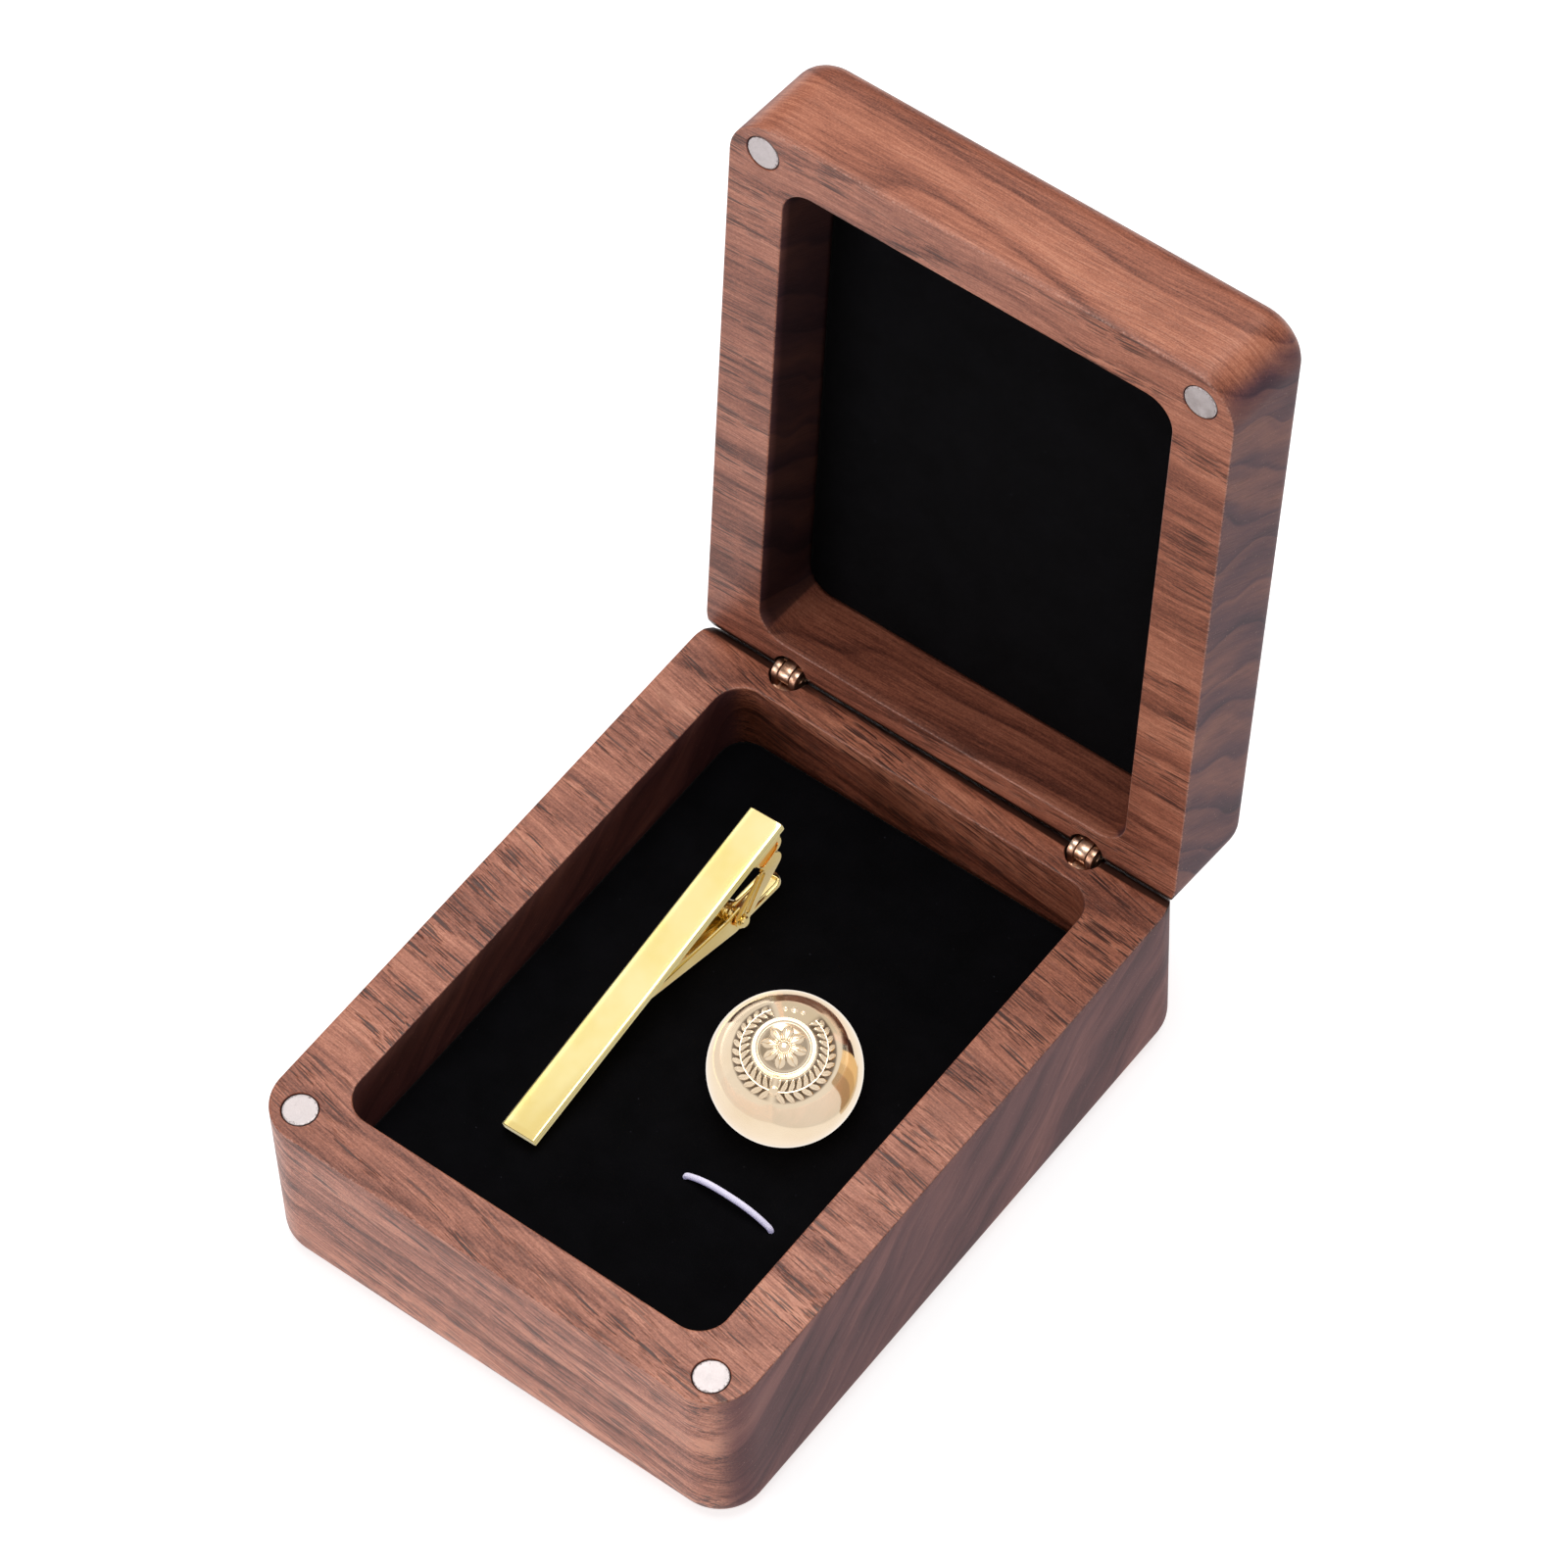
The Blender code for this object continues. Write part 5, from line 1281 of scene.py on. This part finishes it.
# Relief height, in shares of the full relief, at a distance and an angle round the pole: a round hub, a
# star of lens-shaped rays with a groove down each, thin rings, the sprays, and half-round beads. The
# second result is the painted shade that darkens the ground between them
def ornament(sizes, distance, angle):
    d, angle = np.broadcast_arrays(distance, angle)
    height = np.sqrt(np.clip(1 - (d / sizes["hub"]) ** 2, 0, 1)) * 0.95
    for count, start, reach, width, lift in sizes["rays"]:
        side = np.abs(((angle * count / (2 * math.pi) + start) % 1) - 0.5) * 2
        lens = np.clip((d - sizes["rayStart"]) / (reach - sizes["rayStart"]), 0, 1)
        ray = np.clip(width * np.sin(math.pi * lens ** 0.8) ** 0.7 - (1 - side), 0, 1) ** 0.45
        height = np.maximum(height, ray * (lift - 0.55 * bell(side, 1, 0.13)))
    for place, width, lift in sizes["rings"]:
        height = np.maximum(height, lift * bell(d, place, width))
    fromTop = np.abs((angle - math.pi / 2 + math.pi) % (2 * math.pi) - math.pi)
    along = (math.pi - fromTop) / math.pi
    height = np.maximum(height, sprays(sizes, d, along))
    x, y, stem = d * np.cos(angle), d * np.sin(angle), sizes["stem"]
    spots = [(0, -stem, sizes["knot"])]
    spots += [(stem * math.cos(t), stem * math.sin(t), radius) for t, radius in sizes["beads"]]
    for centreX, centreY, radius in spots:
        near = ((x - centreX) ** 2 + (y - centreY) ** 2) / radius ** 2
        height = np.maximum(height, 0.95 * np.sqrt(np.clip(1 - near, 0, 1)))
    # Painted shade on the ground: a band among the leaves, the ground of the star, and a dark ring round it
    band = bell(d, stem, sizes["bandWidth"], 6) * ease(along, 0.0, 0.06) * (1 - ease(along, 0.80, 0.86))
    ground = band * (1 - ease(height, 0.02, 0.45)) * (1 - ease(d, 6.55, 6.95)) * ease(d, 3.9, 4.1)
    star = (1 - ease(d, 2.6, 3.1)) * ease(d, 0.5, 0.8)
    ground = np.maximum(ground, sizes["starShade"] * star * (1 - ease(height, 0.05, 0.42)))
    place, width, depth = sizes["darkRing"]
    ground = np.maximum(ground, depth * bell(d, place, width))
    return height - sizes["bandDip"] * band * (height < 0.05), ground


# Rings from the pole down over the ornament, on over the plain cap, and back up inside the shell
def addDome(sizes, pattern, material):
    radius, around, relief = sizes["radius"], sizes["around"], sizes["relief"]
    low = math.pi / 2 + math.asin(sizes["cut"] / radius)
    split = sizes["ornamentEdge"] / radius
    polar = np.concatenate([np.linspace(0, split, sizes["ornamentRings"] + 1)[1:],
                            np.linspace(split, low, sizes["plainRings"] + 1)[1:]])
    turn, distance = np.arange(around) * 2 * math.pi / around, polar[:, None] * radius
    height, ground = ornament(pattern, distance / (mm * sizes["enlarge"]), turn[None, :] - sizes["turn"])
    reach = radius - relief * sizes["sunk"] + height * relief
    reach += relief * sizes["sunk"] * ease(distance, sizes["ornamentEdge"], sizes["plainStart"])
    inner = radius - sizes["shell"] - sizes["innerGap"]
    innerLow = math.pi / 2 + math.asin(sizes["cut"] / inner)
    innerPolar = np.linspace(innerLow, sizes["innerPole"], sizes["innerRings"])
    polar = np.concatenate([polar, innerPolar])[:, None]
    reach = np.concatenate([reach, np.full((len(innerPolar), around), inner)])
    across, up = reach * np.sin(polar), reach * np.cos(polar)
    points = np.stack([across * np.cos(turn), across * np.sin(turn), up], -1).reshape(-1, 3)
    faces = gridFaces(len(polar), around, closeColumns=True)
    points, faces = closePoles(points, faces, [(0, 0, radius), (0, 0, inner)], around)
    dome = makePiece("cufflinkDome", points, faces, linkFrame, smoothAngle=180.0)
    # The dark ground between the relief is painted shade
    paintedShade = np.zeros(len(points))
    paintedShade[: ground.size] = sizes["darkest"] * ground.ravel()
    keepValues(dome, "paintedShade", paintedShade)
    dress(dome, "base", material, "dome_gold", ["cufflink_dome"])
    return dome


dome = addDome(domeSizes, ornamentSizes, domeGold)
print("dome chased:", len(dome.data.polygons), "faces")


# Solids that keep their own shape get their finishes here
def makeFoam():
    shop = Shop("greyFoam", 0.9)
    place = shop.place()
    cells = shop.node("ShaderNodeTexVoronoi")
    cells.inputs["Scale"].default_value = 2.2
    shop.join(place, cells.inputs["Vector"])
    colour = shop.ramp(cells.outputs["Distance"], ((0.0, (0.02, 0.02, 0.022)), (0.6, (0.07, 0.07, 0.075))))
    shop.bump(cells.outputs["Distance"], 0.0002, 0.8)
    return shop.set(Base_Color=colour)


def makeBoard():
    shop = Shop("greyBoard", 0.85)
    fibre = shop.noise(shop.place(), (0.8, 2.2, 2.2), 4.0, 0.7)
    colour = shop.ramp(fibre, ((0.3, (0.28, 0.25, 0.20)), (0.7, (0.42, 0.38, 0.31))))
    shop.bump(fibre, 0.0001, 0.5)
    return shop.set(Base_Color=colour)


finishes = {"base_pad_foam": makeFoam(), "lid_pad_board": makeBoard(), "cufflink_back": domeGold,
            "cufflink_post": domeGold}
for name, finish in finishes.items():
    nodes[name].data.materials.clear()
    nodes[name].data.materials.append(finish)
print("hidden solids finished")


# Studio: a luminous white floor, a wide soft box overhead and a weak light from the front left.
# A light has its place, size, glow and colour
studio = {
    "world": (0.95, 0.97, 1.0), "worldStrength": 0.10,
    "lights": {
        "overheadLight": ((-0.07, 0.155, 0.90), (0.66, 0.94), 4.35, (1.0, 0.98, 0.96)),
        "frontLight": ((-0.42, -0.85, 0.28), (0.50, 0.50), 4.5, (1.0, 0.95, 0.97)),
    },
    "target": (0.0, 0.0, 0.03), "floorHalf": 3.0, "floorDrop": 0.0002,
    "floorColour": (0.50, 0.50, 0.51), "floorGlow": 0.78,
}
# Cards of light that only the gold pieces see. The dome has a table round its foot and a tent over it,
# open in a thin dark line round the horizon, with warm embers on the right; the bar and the clasp have
# softer ones, further off. A card has its lowest and highest corner, its glow, and a colour if it isn't
# the plain one
left, right, front, back = -0.0290, 0.0290, -0.0415, 0.0410
foot, roof, split = 0.0172, 0.10, 0.0268
warm = (1.0, 0.95, 0.86)
goldCards = {
    "dome_gold": {
        "table": ((left, front, foot), (split, back, foot), 1.02),
        "tableFront": ((split, front, foot), (right, 0.0, foot), 1.00),
        "tableBack": ((split, 0.0190, foot), (right, back, foot), 1.00),
        "emberTable": ((split, 0.0, foot), (right, 0.0190, foot), 0.72, (1.0, 0.82, 0.60)),
        "emberFront": ((right, 0.0, foot), (right, 0.0050, 0.0330), 0.42, (1.0, 0.70, 0.42)),
        "emberMiddle": ((right, 0.0050, foot), (right, 0.0095, 0.0330), 0.62, (1.0, 0.70, 0.36)),
        "ember": ((right, 0.0095, foot), (right, 0.0190, 0.0330), 0.84, (1.0, 0.72, 0.38)),
        "leftFront": ((left, front, foot), (left, 0.0040, roof), 0.90),
        "leftBack": ((left, 0.0040, 0.0320), (left, back, roof), 0.74),
        "leftFoot": ((left, 0.0040, foot), (left, back, 0.0255), 0.98),
        "front": ((left, front, foot), (right, front, roof), 0.84),
        "rightFront": ((right, front, foot), (right, 0.0, roof), 0.80),
        "right": ((right, 0.0, 0.0330), (right, back, roof), 0.80),
        "rightFoot": ((right, 0.0190, foot), (right, back, 0.0240), 0.98),
        "back": ((left, back, 0.0325), (right, back, roof), 0.72, warm),
        "backFoot": ((left, back, foot), (right, back, 0.0260), 0.98),
        "sky": ((left, front, roof), (right, back, roof), 0.62, warm),
    },
    "bar_gold clasp_gold": {
        "under": ((-0.030, -0.042, foot), (0.030, 0.042, foot), 0.60),
        "left": ((-0.30, -0.30, 0.03), (-0.30, 0.30, 0.30), 0.40),
        "right": ((0.30, -0.30, 0.03), (0.30, 0.30, 0.30), 0.70),
        "front": ((-0.30, -0.30, 0.03), (0.30, -0.30, 0.30), 0.70),
        "back": ((-0.30, 0.30, 0.03), (0.30, 0.30, 0.30), 0.50),
        "sky": ((-0.50, 0.0, 0.40), (0.50, 0.50, 0.40), 0.97),
        "skyFront": ((-0.50, -0.50, 0.40), (0.50, 0.0, 0.40), 0.80, (1.0, 0.90, 0.74)),
    },
}


# An area light of a given radiance: its power is that times pi times its area
def addLight(name, place, size, glow, colour, way):
    light = bpy.data.lights.new(name, "AREA")
    light.shape, light.size, light.size_y = "RECTANGLE", *size
    light.energy = glow * math.pi * size[0] * size[1]
    light.color = colour
    lamp = bpy.data.objects.new(name, light)
    bpy.context.scene.collection.objects.link(lamp)
    lamp.location = place
    lamp.rotation_euler = Vector(way).to_track_quat("-Z", "Y").to_euler()
    return lamp


def addStudio(spec):
    world = bpy.data.worlds.new("studio")
    world.use_nodes = True
    backdrop = world.node_tree.nodes["Background"]
    backdrop.inputs["Color"].default_value = (*spec["world"], 1.0)
    backdrop.inputs["Strength"].default_value = spec["worldStrength"]
    bpy.context.scene.world = world
    for name, (place, size, glow, colour) in spec["lights"].items():
        addLight(name, place, size, glow, colour, Vector(spec["target"]) - Vector(place))
    half, z = spec["floorHalf"], -spec["floorDrop"]
    corners = [(-half, -half, z), (half, -half, z), (half, half, z), (-half, half, z)]
    floor = makePiece("floor", corners, [[0, 1, 2, 3]], closed=False, smoothAngle=None)
    shop = Shop("paleFloor", 0.7)
    shop.set(Base_Color=(*spec["floorColour"], 1.0), Specular_IOR_Level=0.2,
             Emission_Color=(1.0, 1.0, 1.0, 1.0), Emission_Strength=spec["floorGlow"])
    floor.data.materials.append(shop.material)
    floor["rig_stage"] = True


# A card lies in the plane in which its two corners agree, and shines towards the middle of the box
def addGoldCards(cards, gold, plain=(1.0, 0.98, 0.97), middle=(0.0, 0.0, 0.02)):
    for slots, group in cards.items():
        members = bpy.data.collections.new("lit " + slots)
        for piece in gold:
            if piece["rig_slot"] in slots.split():
                members.objects.link(piece)
        for name, (low, high, glow, *colour) in group.items():
            centre, span = (np.array(low) + high) / 2, np.array(high) - low
            thin = int(np.argmin(span))
            towards = np.zeros(3)
            towards[thin] = 1.0 if centre[thin] < middle[thin] else -1.0
            size = (span[0], span[1]) if thin == 2 else (span[1 - thin], span[2])
            card = addLight(name + "Card", centre, size, glow, colour[0] if colour else plain, towards)
            card.visible_camera = card.visible_diffuse = False
            card.light_linking.receiver_collection = members
            card.light_linking.blocker_collection = members


# Keeps the front light off the gold, which shows only its own cards and the overhead box
def keepOff(lamp, gold):
    others = bpy.data.collections.new("not lit by " + lamp.name)
    for piece in gold:
        others.objects.link(piece)
    for entry in others.collection_objects:
        entry.light_linking.link_state = "EXCLUDE"
    lamp.light_linking.receiver_collection = others


addStudio(studio)
goldSlots = " ".join(goldCards).split()
goldPieces = [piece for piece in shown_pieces() if piece.get("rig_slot") in goldSlots]
print("gold pieces under the cards:", len(goldPieces))
addGoldCards(goldCards, goldPieces)
keepOff(bpy.data.objects["frontLight"], goldPieces)
for hidden in (basePad, nodes["base_pad_foam"], bpy.data.objects["elasticLoop"]):
    hidden.visible_glossy = False
bpy.context.scene.view_settings.view_transform = "Standard"
print("studio lit")
